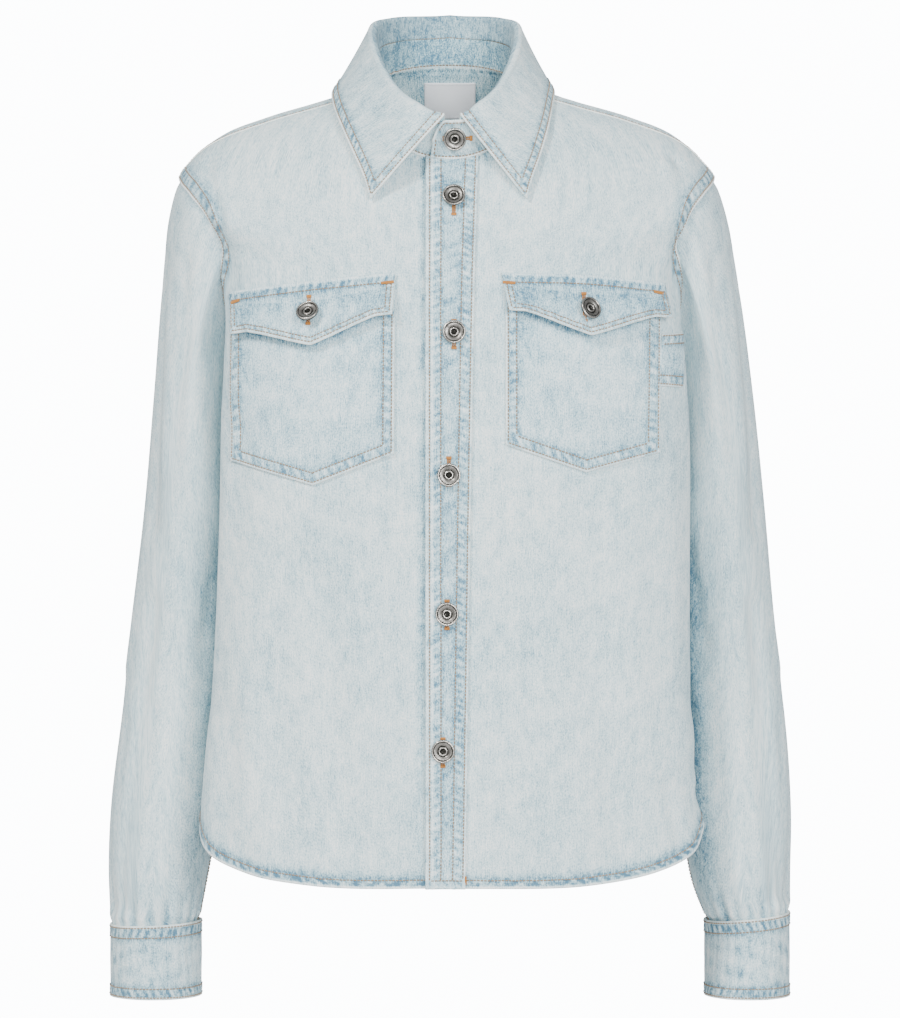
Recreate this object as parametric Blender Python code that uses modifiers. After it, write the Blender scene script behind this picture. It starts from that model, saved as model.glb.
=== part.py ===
"""A washed denim shirt, filled out as it is worn, with nobody in it.

The origin is the centre of the neck's base. +X is the wearer's left, -Y the front and +Z up.
Sizes are in millimetres and become metres where a mesh is made.
"""

import math

import bpy
import numpy as np
from mathutils import Vector

MM = 0.001
HALF_TURN = math.pi
FULL_TURN = 2.0 * math.pi

# Cloth and seams
CLOTH = 1.2                 # wall of a single layer of denim
FOLDED_CLOTH = 1.6          # wall of a turned and stitched strip, pocket or flap
COLLAR_CLOTH = 2.0          # wall of the collar and the cuffs, two layers and their turnings
SEAM_GAP = 0.7              # between two pieces that are sewn edge to edge
LAY_GAP = 1.1               # between a panel and what lies on it
ARMHOLE_GAP = 1.0           # between the armhole and the sleeve's outer face; the walls lean together
STAND_GAP = 1.4             # between the neckline and the stand, and the stand and the leaf
CUFF_GAP = 0.9              # between the end of a sleeve and its cuff
BUTTON_GAP = 0.5            # under a button

# The closure down the front
BAND_FREE_EDGE = -18.3      # x of the left front's free edge, which lies on the right front
BAND_TOP_EDGE = 21.0        # x of the band's inner edge at the neck
BAND_HEM_EDGE = 11.3        # x of the band's inner edge at the hem
BAND_TOP_STATION = 3.0      # the band starts just below the neckline
UNDERLAP_EDGE = 16.0        # x of the right front's own edge, hidden under the band
UNDERLAP_DROP = 2.5         # how far the right front lies behind the left one
UNDERLAP_RUN = 34.0         # width over which the right front comes forward again
UNDERLAP_FULL = 4.0         # it is fully behind this far outside the free edge

# The body: every row is a ring round the shirt, from the neck down to below the hem.
# Widths are the widest place of each side, depths are at centre front and centre back.
# A ring hangs lower in front than at the side. The pinch is the groove under the arm.
BODY_COLUMNS = ("station", "right_width", "left_width", "front_depth", "back_depth",
                "side_z", "front_z", "back_z", "pinch")
BODY_ROWS = (
    (0.0, 62.0, 58.0, 78.0, 62.0, 3.0, -59.0, 25.0, 0.00),
    (36.0, 101.0, 98.0, 86.0, 70.0, -9.0, -75.0, 8.0, 0.00),
    (76.0, 141.0, 139.0, 94.0, 79.0, -21.0, -92.0, -12.0, 0.00),
    (110.0, 174.0, 170.5, 100.0, 85.5, -34.0, -107.0, -30.0, 0.00),
    (138.0, 197.0, 191.5, 104.5, 90.0, -52.0, -119.0, -47.0, 0.00),
    (155.0, 208.0, 203.0, 107.0, 92.5, -68.0, -127.0, -58.0, 0.00),
    (200.0, 183.0, 183.0, 112.0, 99.0, -110.0, -150.0, -95.0, 0.06),
    (250.0, 171.0, 175.0, 118.0, 104.0, -158.0, -187.0, -145.0, 0.14),
    (300.0, 171.0, 178.0, 121.5, 106.0, -207.0, -225.0, -198.0, 0.20),
    (345.0, 173.0, 181.5, 123.0, 105.0, -254.0, -264.0, -250.0, 0.24),
    (395.0, 174.0, 182.5, 123.5, 101.0, -304.0, -309.0, -303.0, 0.24),
    (445.0, 175.5, 182.5, 123.0, 98.0, -354.0, -356.0, -354.0, 0.23),
    (545.0, 180.5, 183.5, 122.0, 97.0, -454.0, -454.0, -454.0, 0.23),
    (600.0, 185.0, 185.0, 121.0, 98.0, -509.0, -509.0, -509.0, 0.22),
    (628.0, 187.5, 183.5, 120.5, 98.5, -537.0, -537.0, -537.0, 0.21),
    (656.0, 189.0, 189.5, 120.0, 99.0, -565.0, -565.0, -565.0, 0.20),
    (720.0, 190.0, 190.0, 118.0, 100.0, -629.0, -629.0, -629.0, 0.16),
)
BODY_SQUARENESS = 2.4       # 2 is an ellipse, more is nearer to a box
DROP_POWER = 1.3            # how fast a ring falls away from the shoulder's ridge
SIDE_ANGLE = 1.67           # where the side seam runs; a quarter turn is exactly sideways
PINCH_REACH = 0.82          # half the width of the groove under the arm, in radians

# The armhole: an egg-shaped loop on the body between these stations
SHOULDER_STATION = 155.0
UNDERARM_STATION = 345.0
YOKE_FORWARD = 5.5          # how far the yoke's front seam runs before the shoulder's ridge
ARMHOLE_FRONT = 0.50        # how far the loop swings forward, in radians
ARMHOLE_BACK = 0.46         # how far it swings back
ARMHOLE_SKEW = 0.18         # lifts the widest part of the loop towards the shoulder
YOKE_BACK_STEP = 5          # the armhole step that the yoke's back seam starts from
ARMHOLE_STEPS = 11          # steps from the shoulder down to the underarm

# The shirt-tail hem: stations of the hem by the angle from centre front
HEM_COLUMNS = ("angle", "station")
HEM_ROWS = (
    (0.00, 695.5),
    (0.45, 694.0),
    (0.75, 685.0),
    (0.98, 671.0),
    (1.18, 650.0),
    (1.40, 638.0),
    (1.67, 637.0),
    (1.95, 643.0),
    (2.25, 662.0),
    (2.60, 686.0),
    (3.1416, 694.0),
)

# Soft folds of the body, each a trough or ridge between two places on it
FOLD_COLUMNS = ("from_angle", "from_station", "to_angle", "to_station", "reach", "rise")
BODY_FOLDS = (
    (1.12, 172.0, 1.04, 232.0, 13.0, -3.0),
    (-1.10, 172.0, -1.02, 222.0, 13.0, -3.0),
    (0.95, 330.0, 1.05, 560.0, 16.0, -3.0),
    (-0.86, 350.0, -0.98, 560.0, 17.0, -3.0),
    (1.28, 560.0, 1.22, 625.0, 11.0, -5.0),
    (1.10, 620.0, 1.22, 668.0, 10.0, 4.0),
    (-0.42, 470.0, -0.30, 660.0, 15.0, -2.5),
    (0.42, 500.0, 0.56, 668.0, 17.0, -2.5),
    (-0.72, 560.0, -0.62, 680.0, 15.0, 2.5),
    (2.45, 330.0, 2.62, 640.0, 20.0, -5.0),
    (-2.50, 340.0, -2.68, 640.0, 20.0, -5.0),
    (3.05, 300.0, 3.20, 600.0, 22.0, -4.0),
    (2.05, 230.0, 2.42, 330.0, 12.0, -4.5),
    (-2.05, 236.0, -2.40, 338.0, 12.0, -4.5),
)

# The sleeves: every row is a ring from the armhole down to the wrist, tilted from its outer
# point to its inner one. The right sleeve is the wearer's right, at -X.
SLEEVE_COLUMNS = ("station", "right_outer_x", "left_outer_x", "right_outer_z", "left_outer_z",
                  "right_inner_x", "left_inner_x", "inner_z", "centre_y", "half_depth")
SLEEVE_ROWS = (
    (0.00, 208.0, 203.0, -68.0, -68.0, 149.0, 156.5, -254.0, 12.0, 70.0),
    (0.06, 216.0, 213.0, -100.0, -100.0, 156.5, 164.0, -272.0, 17.0, 73.0),
    (0.15, 222.5, 224.0, -160.0, -160.0, 161.5, 168.5, -300.0, 24.0, 73.5),
    (0.28, 229.0, 234.5, -236.0, -236.0, 164.0, 171.0, -342.0, 30.0, 70.0),
    (0.42, 236.5, 243.5, -322.0, -322.0, 167.0, 173.0, -398.0, 32.0, 64.0),
    (0.56, 246.5, 251.0, -408.0, -408.0, 170.5, 175.0, -457.0, 30.0, 59.0),
    (0.70, 255.0, 260.0, -484.0, -484.0, 175.0, 177.5, -515.0, 24.0, 55.0),
    (0.84, 262.5, 263.5, -560.0, -558.0, 181.5, 180.5, -575.0, 16.0, 52.0),
    (0.94, 263.0, 262.0, -612.0, -603.0, 188.0, 187.5, -614.0, 9.0, 48.0),
    (1.00, 260.8, 260.8, -641.5, -632.0, 192.6, 197.2, -638.5, 6.0, 41.5),
)
SLEEVE_SQUARENESS = 2.15
SLEEVE_RINGS = 17
SLEEVE_LOOP_FADE = 0.30     # by this station the armhole's own shape has faded out
SLEEVE_FIRST_RING = 0.022
SLEEVE_CALM_TOP = 0.08      # no fold reaches the armhole seam or the cuff seam
SLEEVE_CALM_FOOT = 0.97
SLEEVE_FOLDS = (
    (0.35, 0.10, 0.75, 0.42, 10.0, -3.5),
    (0.05, 0.62, 0.30, 0.97, 9.0, -4.5),
    (1.00, 0.52, 0.80, 0.96, 9.0, -3.5),
    (5.60, 0.40, 5.35, 0.66, 10.0, -4.0),
    (4.70, 0.30, 4.30, 0.50, 11.0, -4.0),
    (4.95, 0.72, 4.75, 0.95, 9.0, -3.5),
    (3.60, 0.55, 3.85, 0.92, 9.0, -3.0),
)

# The cuffs
CUFF_FOOT = -696.6          # height of the lower edges
CUFF_PROUD = 1.0            # how far a cuff stands out from the sleeve's end
CUFF_LAP = 0.46             # length of the lap, in radians round the wrist
CUFF_LAP_ANGLE = 4.62       # where the upper end of the lap lies, at the back of the wrist
CUFF_LAP_LIFT = 2.6
CUFF_LAP_RUN = 0.55

# The sleeve plackets, above the cuffs at the back
SLEEVE_PLACKET_WIDTH = 0.50     # in radians round the wrist
SLEEVE_PLACKET_TOP = 0.815
SLEEVE_PLACKET_FOOT = 0.985

# The collar stand: its upper edge, by the angle from centre front
STAND_COLUMNS = ("angle", "height")
STAND_TOP_ROWS = (
    (0.00, -31.0),
    (0.35, -29.0),
    (0.70, -19.0),
    (1.05, -1.0),
    (1.40, 19.0),
    (1.75, 33.5),
    (2.30, 44.0),
    (3.1416, 49.0),
)
STAND_RIGHT_HALF = 56.5
STAND_LEFT_HALF = 49.0
STAND_FRONT = 86.0
STAND_BACK = 70.0
STAND_LAP = 0.17            # how far each end passes centre front, in radians
STAND_LAP_DROP = 2.9
STAND_LAP_RUN = 0.75
STAND_CORNER_DROP = 4.0     # the upper corners of both ends are rounded off

# The collar leaf: by the angle round the stand, the height of its roll above the stand,
# and the line that its free edge runs along
LEAF_COLUMNS = ("angle", "roll_rise", "right_x", "left_x", "edge_y", "edge_z")
LEAF_ROWS = (
    (0.06, 5.0, 57.5, 57.0, -101.0, -89.5),
    (0.35, 8.0, 64.5, 62.0, -93.0, -74.0),
    (0.70, 11.5, 72.0, 68.0, -81.0, -56.5),
    (1.05, 15.0, 80.5, 73.5, -64.0, -37.0),
    (1.40, 17.5, 88.0, 77.5, -36.0, -17.0),
    (1.75, 18.5, 89.5, 79.5, -4.0, -1.5),
    (2.10, 17.5, 82.0, 75.0, 33.0, 7.0),
    (2.60, 16.0, 47.0, 45.0, 74.0, 13.0),
    (3.1416, 15.3, 0.0, 0.0, 87.0, 15.0),
)
LEAF_ROLL_OUT = 0.8         # the roll lies this far outside the stand's edge
LEAF_FOLD_RADIUS = 2.9
LEAF_FOLD_OUT = 0.62        # where the roll's shoulders lie, in shares of its radius
LEAF_FOLD_DOWN = 0.24
LEAF_BULGE = -0.8           # how far the fall bows out half way down
LEAF_SHARES = (0.22, 0.48, 0.74, 1.0)

# Breast pockets, as seen from the front: corners and the point of the bottom edge
POCKETS = {
    "right": {
        "top_inner": (-42.3, -176.0), "top_outer": (-164.7, -188.0),
        "foot_inner": (-43.0, -280.4), "foot_outer": (-164.0, -285.0),
        "point": (-101.9, -303.3),
    },
    "left": {
        "top_inner": (42.3, -168.0), "top_outer": (157.8, -176.0),
        "foot_inner": (42.3, -273.7), "foot_outer": (155.6, -279.1),
        "point": (101.2, -295.1),
    },
}
# Flaps: the ends of the top edge, how far the lower edge hangs at the ends and the point,
# and how far each end leans in on the way down
FLAPS = {
    "right": {"inner": (-40.8, -149.8), "outer": (-166.9, -160.2), "inner_drop": 28.4,
              "outer_drop": 31.0, "point_drop": 45.8, "inner_lean": 2.2, "outer_lean": 2.2},
    "left": {"inner": (38.6, -148.4), "outer": (161.6, -155.8), "inner_drop": 26.7,
             "outer_drop": 21.9, "point_drop": 40.2, "inner_lean": 5.9, "outer_lean": -1.0},
}
FLAP_LIFT = 2.9             # the lower edge of a flap stands proud of its pocket
FLAP_RISE = (0.15, 0.62)    # shares of the flap's fall over which it climbs onto the pocket
FLAP_SHOULDER = 0.14        # share of the flap's width that is straight at each end
FLAP_ROUNDING = 0.25        # how much of the point's slope is rounded
TAB_EDGE = ((159.0, 273.0), (158.0, 316.5))   # x and station of the loop tab's inner edge
TAB_TURN = 0.235            # width of the loop tab, in radians round the body

# The neck label, inside the back yoke
LABEL_WIDTH = 40.0
LABEL_TOP = 12.0
LABEL_FOOT = -15.0
LABEL_CLOTH = 1.0

# Buttons: the turned profile of a metal shirt button, radius and height
BUTTON_PROFILE = (
    (0.0, 2.9), (2.0, 2.5), (3.4, 1.6), (5.4, 3.2), (7.2, 3.8), (8.5, 2.6), (8.0, 0.0), (0.0, 0.0),
)
BUTTON_STEPS = 12
BAND_BUTTONS = ((2.2, -89.0), (2.2, -190.7), (-0.8, -297.5), (-2.2, -400.4), (-5.2, -502.0))
STAND_BUTTON = (0.07, 0.47)     # angle and share of the stand's height
FLAP_BUTTONS = {"right": (-105.1, -178.8), "left": (102.8, -174.4)}
CUFF_BUTTON_HEIGHT = 0.5

# Steps of the meshes
STRIP_STEPS = 4             # lines of points across the band, a loop or a sleeve placket
CUFF_ROWS = 4
CUFF_COLUMNS = 27
STAND_ROWS = 3
SLEEVE_PLACKET_ROWS = 9
POCKET_ROWS = 8
POCKET_HALF_COLUMNS = 5
FLAP_ROWS = 5
FLAP_COLUMNS = 11
LABEL_ROWS = 4
LABEL_COLUMNS = 5
TAB_ROWS = 5
SEARCH_STEPS = 30           # halvings that find a place on the body

# Colours, linear
PALE_DENIM = (0.60, 0.68, 0.70)
BLUE_DENIM = (0.50, 0.61, 0.67)
WHITE_TAPE = (0.86, 0.87, 0.90)
OLD_SILVER = (0.42, 0.41, 0.39)


class Table:
    """Rows of named columns, read on smooth curves at any key between the rows."""

    def __init__(self, columns, rows):
        data = np.array(rows, dtype=float)
        self.keys = data[:, 0]
        self.values = {name: data[:, place] for place, name in enumerate(columns)}
        self.slopes = {name: np.gradient(line, self.keys) for name, line in self.values.items()}

    def read(self, name, key):
        key = np.clip(key, self.keys[0], self.keys[-1])
        low = np.clip(np.searchsorted(self.keys, key, side="right") - 1, 0, len(self.keys) - 2)
        span = self.keys[low + 1] - self.keys[low]
        t = (key - self.keys[low]) / span
        start, end = self.values[name][low], self.values[name][low + 1]
        leave, arrive = self.slopes[name][low] * span, self.slopes[name][low + 1] * span
        return ((2 * t**3 - 3 * t**2 + 1) * start + (t**3 - 2 * t**2 + t) * leave
                + (3 * t**2 - 2 * t**3) * end + (t**3 - t**2) * arrive)


BODY = Table(BODY_COLUMNS, BODY_ROWS)
HEM = Table(HEM_COLUMNS, HEM_ROWS)
SLEEVE = Table(SLEEVE_COLUMNS, SLEEVE_ROWS)
STAND_TOP = Table(STAND_COLUMNS, STAND_TOP_ROWS)
LEAF = Table(LEAF_COLUMNS, LEAF_ROWS)


def ease(value, start, end):
    """Go from 0 at start to 1 at end, smoothly."""
    t = np.clip((value - start) / (end - start), 0.0, 1.0)
    return t * t * (3.0 - 2.0 * t)


def swell(distance, reach):
    """A soft bump: 1 at no distance, 0 from reach on."""
    return np.cos(np.clip(np.abs(distance) / reach, 0.0, 1.0) * HALF_TURN / 2.0) ** 2


def fold_angle(angle):
    """Split an angle from centre front into its side (+1 is +X) and its size, up to half a turn."""
    turn = (np.asarray(angle, dtype=float) + HALF_TURN) % FULL_TURN - HALF_TURN
    return np.where(turn < 0.0, -1.0, 1.0), np.abs(turn)


# ---------------------------------------------------------------- the body's form

PINCH_SAMPLES = np.linspace(0.0, 0.4, 41)
ANGLE_SAMPLES = np.linspace(0.0, HALF_TURN, 721)


def widest_share(pinch):
    """The widest place of a ring with this pinch, as a share of its plain half width."""
    shape = np.sin(ANGLE_SAMPLES) ** (2.0 / BODY_SQUARENESS)
    groove = swell(ANGLE_SAMPLES - SIDE_ANGLE, PINCH_REACH)
    peaks = [np.max(shape * (1.0 - share * groove)) for share in PINCH_SAMPLES]
    return np.interp(pinch, PINCH_SAMPLES, peaks)


def ring_half_width(side, station):
    """Plain half width of the ring at a station, before the groove is taken off."""
    width = np.where(side < 0.0, BODY.read("right_width", station), BODY.read("left_width", station))
    return width / widest_share(BODY.read("pinch", station))


def body_form(angle, station):
    """Smooth form of the body, without folds."""
    side, turn = fold_angle(angle)
    groove = BODY.read("pinch", station) * swell(turn - SIDE_ANGLE, PINCH_REACH)
    across = np.clip(np.sin(turn), 0.0, 1.0) ** (2.0 / BODY_SQUARENESS) * (1.0 - groove)
    forward = np.cos(turn)
    depth = np.where(forward > 0.0, -BODY.read("front_depth", station), BODY.read("back_depth", station))
    side_z = BODY.read("side_z", station)
    end_z = np.where(forward > 0.0, BODY.read("front_z", station), BODY.read("back_z", station))
    x = side * ring_half_width(side, station) * across
    y = depth * np.abs(forward) ** (2.0 / BODY_SQUARENESS)
    z = side_z + (end_z - side_z) * np.abs(forward) ** DROP_POWER
    return np.stack(np.broadcast_arrays(x, y, z), axis=-1)


def with_folds(points, outward, rows, place):
    """Move points along their outward directions by the folds of a table."""
    moved = points.copy()
    for row in rows:
        fold = dict(zip(FOLD_COLUMNS, row))
        start = place(fold["from_angle"], fold["from_station"])
        along = place(fold["to_angle"], fold["to_station"]) - start
        share = np.clip(((points - start) @ along) / (along @ along), 0.0, 1.0)
        distance = np.linalg.norm(points - (start + share[..., None] * along), axis=-1)
        moved += outward * (fold["rise"] * np.exp(-(distance / fold["reach"]) ** 2))[..., None]
    return moved


def body(angle, station):
    """Outer face of the body's cloth."""
    points = body_form(angle, station)
    depth = np.where(points[..., 1] < 0.0, BODY.read("front_depth", station),
                     BODY.read("back_depth", station))
    width = BODY.read("left_width", station)
    outward = np.stack((points[..., 0] / width**2, points[..., 1] / depth**2,
                        np.zeros_like(depth)), axis=-1)
    outward /= np.linalg.norm(outward, axis=-1, keepdims=True)
    return with_folds(points, outward, BODY_FOLDS, body_form)


def angle_at(x, station):
    """Angle at which the front half of a ring reaches x."""
    side = np.where(np.asarray(x) < 0.0, -1.0, 1.0)
    share = np.abs(x) / ring_half_width(side, station)
    turn = np.zeros_like(share)
    for _ in range(6):
        groove = BODY.read("pinch", station) * swell(turn - SIDE_ANGLE, PINCH_REACH)
        turn = np.arcsin(np.clip(share / (1.0 - groove), 0.0, 1.0) ** (BODY_SQUARENESS / 2.0))
    return side * turn


def front_place(x, z):
    """Angle and station of the place on the front that has this x and z."""
    x, z = np.broadcast_arrays(np.asarray(x, dtype=float), np.asarray(z, dtype=float))
    low = np.full(x.shape, BODY.keys[0])
    high = np.full(x.shape, BODY.keys[-1])
    for _ in range(SEARCH_STEPS):
        middle = (low + high) / 2.0
        above = body_form(angle_at(x, middle), middle)[..., 2] > z
        low, high = np.where(above, middle, low), np.where(above, high, middle)
    return angle_at(x, low), low


def grid_normals(points, around=False):
    """Unit normals of a grid of points, rows going down and columns anticlockwise from above."""
    if around:
        padded = np.concatenate((points[:, -1:], points, points[:, :1]), axis=1)
        across = (padded[:, 2:] - padded[:, :-2]) / 2.0
    else:
        across = np.gradient(points, axis=1)
    normals = np.cross(np.gradient(points, axis=0), across)
    return normals / np.linalg.norm(normals, axis=-1, keepdims=True)


# ---------------------------------------------------------------- rows of stations and seams

def armhole_station(swing):
    return SHOULDER_STATION + (UNDERARM_STATION - SHOULDER_STATION) * (1.0 - np.cos(swing)) / 2.0


def ridge_angle(station):
    """Angle of the yoke's front seam, just before the ridge of the shoulder."""
    depth = BODY.read("front_depth", station)
    return HALF_TURN / 2.0 - np.arcsin((YOKE_FORWARD / depth) ** (BODY_SQUARENESS / 2.0))


def armhole_angle(swing):
    """Angle of the armhole; swing 0 is the shoulder, a quarter turn the front, a half the underarm."""
    top = ridge_angle(SHOULDER_STATION)
    middle = top + (SIDE_ANGLE - top) * (1.0 - np.cos(swing)) / 2.0
    reach = np.where(np.sin(swing) > 0.0, ARMHOLE_FRONT, ARMHOLE_BACK)
    skew = ARMHOLE_SKEW * np.sin(2.0 * swing) * np.sign(np.sin(swing))
    return middle - reach * (np.sin(swing) + np.sign(np.sin(swing)) * skew)


SWINGS = np.linspace(0.0, HALF_TURN, ARMHOLE_STEPS + 1)
NECK_STATIONS = np.array([0.0, 14.0, 36.0, 62.0, 90.0, 116.0, 138.0, SHOULDER_STATION])
ARM_STATIONS = armhole_station(SWINGS[1:])
LOWER_SHARES = np.linspace(0.0, 1.0, 11)[1:]
YOKE_STATIONS = np.concatenate((NECK_STATIONS, ARM_STATIONS[:YOKE_BACK_STEP]))


def hem_stations(turn):
    """Stations below the underarm, one row for each share of the way to the hem."""
    hem = HEM.read("station", turn)
    return UNDERARM_STATION + LOWER_SHARES[:, None] * (hem - UNDERARM_STATION)[None, :]


def spread(starts, ends, shares):
    return starts[:, None] + (ends - starts)[:, None] * shares[None, :]


def spread_towards(starts, ends, shares):
    """Spread angles evenly towards the side, with the armhole's swing taken up near it."""
    even = spread(starts, np.full(starts.shape, SIDE_ANGLE), shares)
    return even + (ends - SIDE_ANGLE)[:, None] * (shares**2)[None, :]


def pull_in(points, top=0.0, foot=0.0, first=0.0, last=0.0):
    """Draw the edges of a grid inwards by these lengths, so that pieces stay apart at seams."""
    points = points.copy()
    for edge, inner, length in (
            (np.s_[0], np.s_[1], top), (np.s_[-1], np.s_[-2], foot),
            (np.s_[:, 0], np.s_[:, 1], first), (np.s_[:, -1], np.s_[:, -2], last)):
        if length > 0.0:
            inwards = points[inner] - points[edge]
            points[edge] += inwards * (length / np.linalg.norm(inwards, axis=-1, keepdims=True))
    return points


def front_rows(edge_x, columns):
    """Angles and stations of the +X front, from its own edge to the shoulder, armhole and side."""
    upper = np.concatenate((NECK_STATIONS, ARM_STATIONS))
    outer = np.concatenate((ridge_angle(NECK_STATIONS), armhole_angle(SWINGS[1:])))
    shares = np.linspace(0.0, 1.0, columns)
    upper_angles = spread_towards(angle_at(np.full(upper.shape, edge_x), upper), outer, shares)
    lower_stations = hem_stations(spread(np.zeros(1), np.full(1, SIDE_ANGLE), shares)[0])
    lower_edges = angle_at(np.full(len(LOWER_SHARES), edge_x), lower_stations[:, 0])
    lower_angles = spread(lower_edges, np.full(lower_edges.shape, SIDE_ANGLE), shares)
    upper_grid = np.repeat(upper[:, None], columns, axis=1)
    return np.concatenate((upper_angles, lower_angles)), np.concatenate((upper_grid, lower_stations))


# ---------------------------------------------------------------- meshes, materials, objects

def cloth_material(name, colour, roughness, metallic=0.0):
    material = bpy.data.materials.new(name)
    material.use_nodes = True
    shader = material.node_tree.nodes["Principled BSDF"]
    shader.inputs["Base Color"].default_value = (*colour, 1.0)
    shader.inputs["Roughness"].default_value = roughness
    shader.inputs["Metallic"].default_value = metallic
    return material


def add_object(name, mesh, collection, material):
    mesh.materials.append(material)
    piece = bpy.data.objects.new(name, mesh)
    collection.objects.link(piece)
    return piece


def add_wall(name, points, collection, material, wall, lie=-1.0, around=False, mirror=False):
    """Make a grid of points into cloth. lie -1 puts the wall inside the points, +1 outside."""
    rows, columns = points.shape[:2]
    mesh = bpy.data.meshes.new(name)
    last = columns if around else columns - 1
    faces = []
    for row in range(rows - 1):
        for column in range(last):
            after = (column + 1) % columns
            corners = (row * columns + column, (row + 1) * columns + column,
                       (row + 1) * columns + after, row * columns + after)
            faces.append(corners[::-1] if mirror else corners)
    mesh.from_pydata((points.reshape(-1, 3) * MM).tolist(), [], faces)
    mesh.shade_smooth()
    piece = add_object(name, mesh, collection, material)
    shell = piece.modifiers.new("cloth", "SOLIDIFY")
    shell.thickness = wall * MM
    shell.offset = lie
    shell.use_rim = True
    return piece


# ---------------------------------------------------------------- fronts, back and yoke

FRONT_COLUMNS = 17
BACK_COLUMNS = 23


def left_front(collection, material):
    """The wearer's left front, which lies on top."""
    angles, stations = front_rows(BAND_FREE_EDGE, FRONT_COLUMNS)
    points = pull_in(body(angles, stations), last=SEAM_GAP / 2.0)
    add_wall("front_left", points, collection, material, CLOTH)


def right_front(collection, material):
    """The wearer's right front; along the closure it lies behind the left one."""
    angles, stations = front_rows(-UNDERLAP_EDGE, FRONT_COLUMNS)
    points = body(-angles[:, ::-1], stations[:, ::-1])
    under = ease(points[..., 0], BAND_FREE_EDGE - UNDERLAP_RUN, BAND_FREE_EDGE - UNDERLAP_FULL)
    points[..., 1] += UNDERLAP_DROP * under
    points = pull_in(points, first=SEAM_GAP / 2.0)
    add_wall("front_right", points, collection, material, CLOTH)


def back_panel(collection, material):
    stations_down = ARM_STATIONS[YOKE_BACK_STEP - 1:]
    edge = armhole_angle(FULL_TURN - SWINGS[YOKE_BACK_STEP:])
    shares = np.linspace(0.0, 1.0, BACK_COLUMNS)
    half = len(shares) // 2
    towards = spread_towards(np.full(edge.shape, HALF_TURN), edge, shares[half:] * 2.0 - 1.0)
    upper = np.concatenate((towards[:, :0:-1], FULL_TURN - towards), axis=1)
    turns = SIDE_ANGLE + (FULL_TURN - 2.0 * SIDE_ANGLE) * shares
    lower_stations = hem_stations(fold_angle(turns)[1])
    angles = np.concatenate((upper, np.repeat(turns[None, :], len(LOWER_SHARES), axis=0)))
    stations = np.concatenate((np.repeat(stations_down[:, None], BACK_COLUMNS, axis=1), lower_stations))
    half = SEAM_GAP / 2.0
    points = pull_in(body(angles, stations), top=half, first=half, last=half)
    add_wall("back", points, collection, material, CLOTH)


def yoke_grid(columns):
    shoulder = ridge_angle(NECK_STATIONS)
    armhole = armhole_angle(FULL_TURN - SWINGS[1:YOKE_BACK_STEP + 1])
    edge = np.concatenate((shoulder, armhole))
    angles = spread(edge, FULL_TURN - edge, np.linspace(0.0, 1.0, columns))
    return angles, np.repeat(YOKE_STATIONS[:, None], columns, axis=1)


def yoke(collection, material):
    angles, stations = yoke_grid(BACK_COLUMNS)
    half = SEAM_GAP / 2.0
    points = pull_in(body(angles, stations), foot=half, first=half, last=half)
    add_wall("yoke", points, collection, material, CLOTH)


# ---------------------------------------------------------------- sleeves and cuffs

def armhole_loop(side, swing):
    """The armhole's edge; side +1 is the wearer's left."""
    return body(side * armhole_angle(swing), armhole_station(swing))


def sleeve_form(side, swing, station):
    """Sleeve ring; swing 0 is the outside, a quarter turn the front, a half the inside."""
    name = "left" if side > 0 else "right"
    outer, inner = SLEEVE.read(name + "_outer_x", station), SLEEVE.read(name + "_inner_x", station)
    share = (1.0 - np.cos(swing)) / 2.0
    turn = np.abs(np.sin(swing)) ** (2.0 / SLEEVE_SQUARENESS) * np.sign(np.sin(swing))
    out = np.abs(np.cos(swing)) ** (2.0 / SLEEVE_SQUARENESS) * np.sign(np.cos(swing))
    x = side * ((outer + inner) / 2.0 + (outer - inner) / 2.0 * out)
    y = SLEEVE.read("centre_y", station) - SLEEVE.read("half_depth", station) * turn
    outer_z, inner_z = SLEEVE.read(name + "_outer_z", station), SLEEVE.read("inner_z", station)
    z = outer_z + (inner_z - outer_z) * share
    return np.stack(np.broadcast_arrays(x, y, z), axis=-1)


def sleeve_outward(side, points, station):
    name = "left" if side > 0 else "right"
    outer, inner = SLEEVE.read(name + "_outer_x", station), SLEEVE.read(name + "_inner_x", station)
    half = (outer - inner) / 2.0
    x = (points[..., 0] - side * (outer + inner) / 2.0) / half**2
    y = (points[..., 1] - SLEEVE.read("centre_y", station)) / SLEEVE.read("half_depth", station)**2
    outward = np.stack(np.broadcast_arrays(x, y, np.zeros_like(y)), axis=-1)
    return outward / np.linalg.norm(outward, axis=-1, keepdims=True)


def sleeve_surface(side, swing, station):
    """Outer face of a sleeve; its first ring follows the armhole, a seam's gap outside it."""
    form = sleeve_form(side, swing, station)
    start = sleeve_form(side, swing, np.zeros_like(station))
    loop = armhole_loop(side, swing)
    top, foot = armhole_loop(side, np.zeros(1))[0], armhole_loop(side, np.full(1, HALF_TURN))[0]
    slope = top - foot
    clear = np.array([side * slope[2], 0.0, -side * slope[0]])
    clear *= ARMHOLE_GAP / np.linalg.norm(clear)
    fade = 1.0 - ease(station, 0.0, SLEEVE_LOOP_FADE)
    points = form + (loop - start) * fade[..., None] + clear
    folded = with_folds(points, sleeve_outward(side, points, station), SLEEVE_FOLDS,
                        lambda a, b: sleeve_form(side, np.array(a), np.array(b)))
    calm = ease(station, 0.0, SLEEVE_CALM_TOP) * (1.0 - ease(station, SLEEVE_CALM_FOOT, 1.0))
    return points + (folded - points) * calm[..., None]


def sleeve_swings():
    """Angles round a sleeve that meet every step of the armhole."""
    return np.concatenate((SWINGS, FULL_TURN - SWINGS[-2:0:-1]))


def sleeve_stations():
    steps = np.linspace(0.0, 1.0, SLEEVE_RINGS)
    return np.concatenate(([0.0, SLEEVE_FIRST_RING], steps[1:]))


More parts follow.
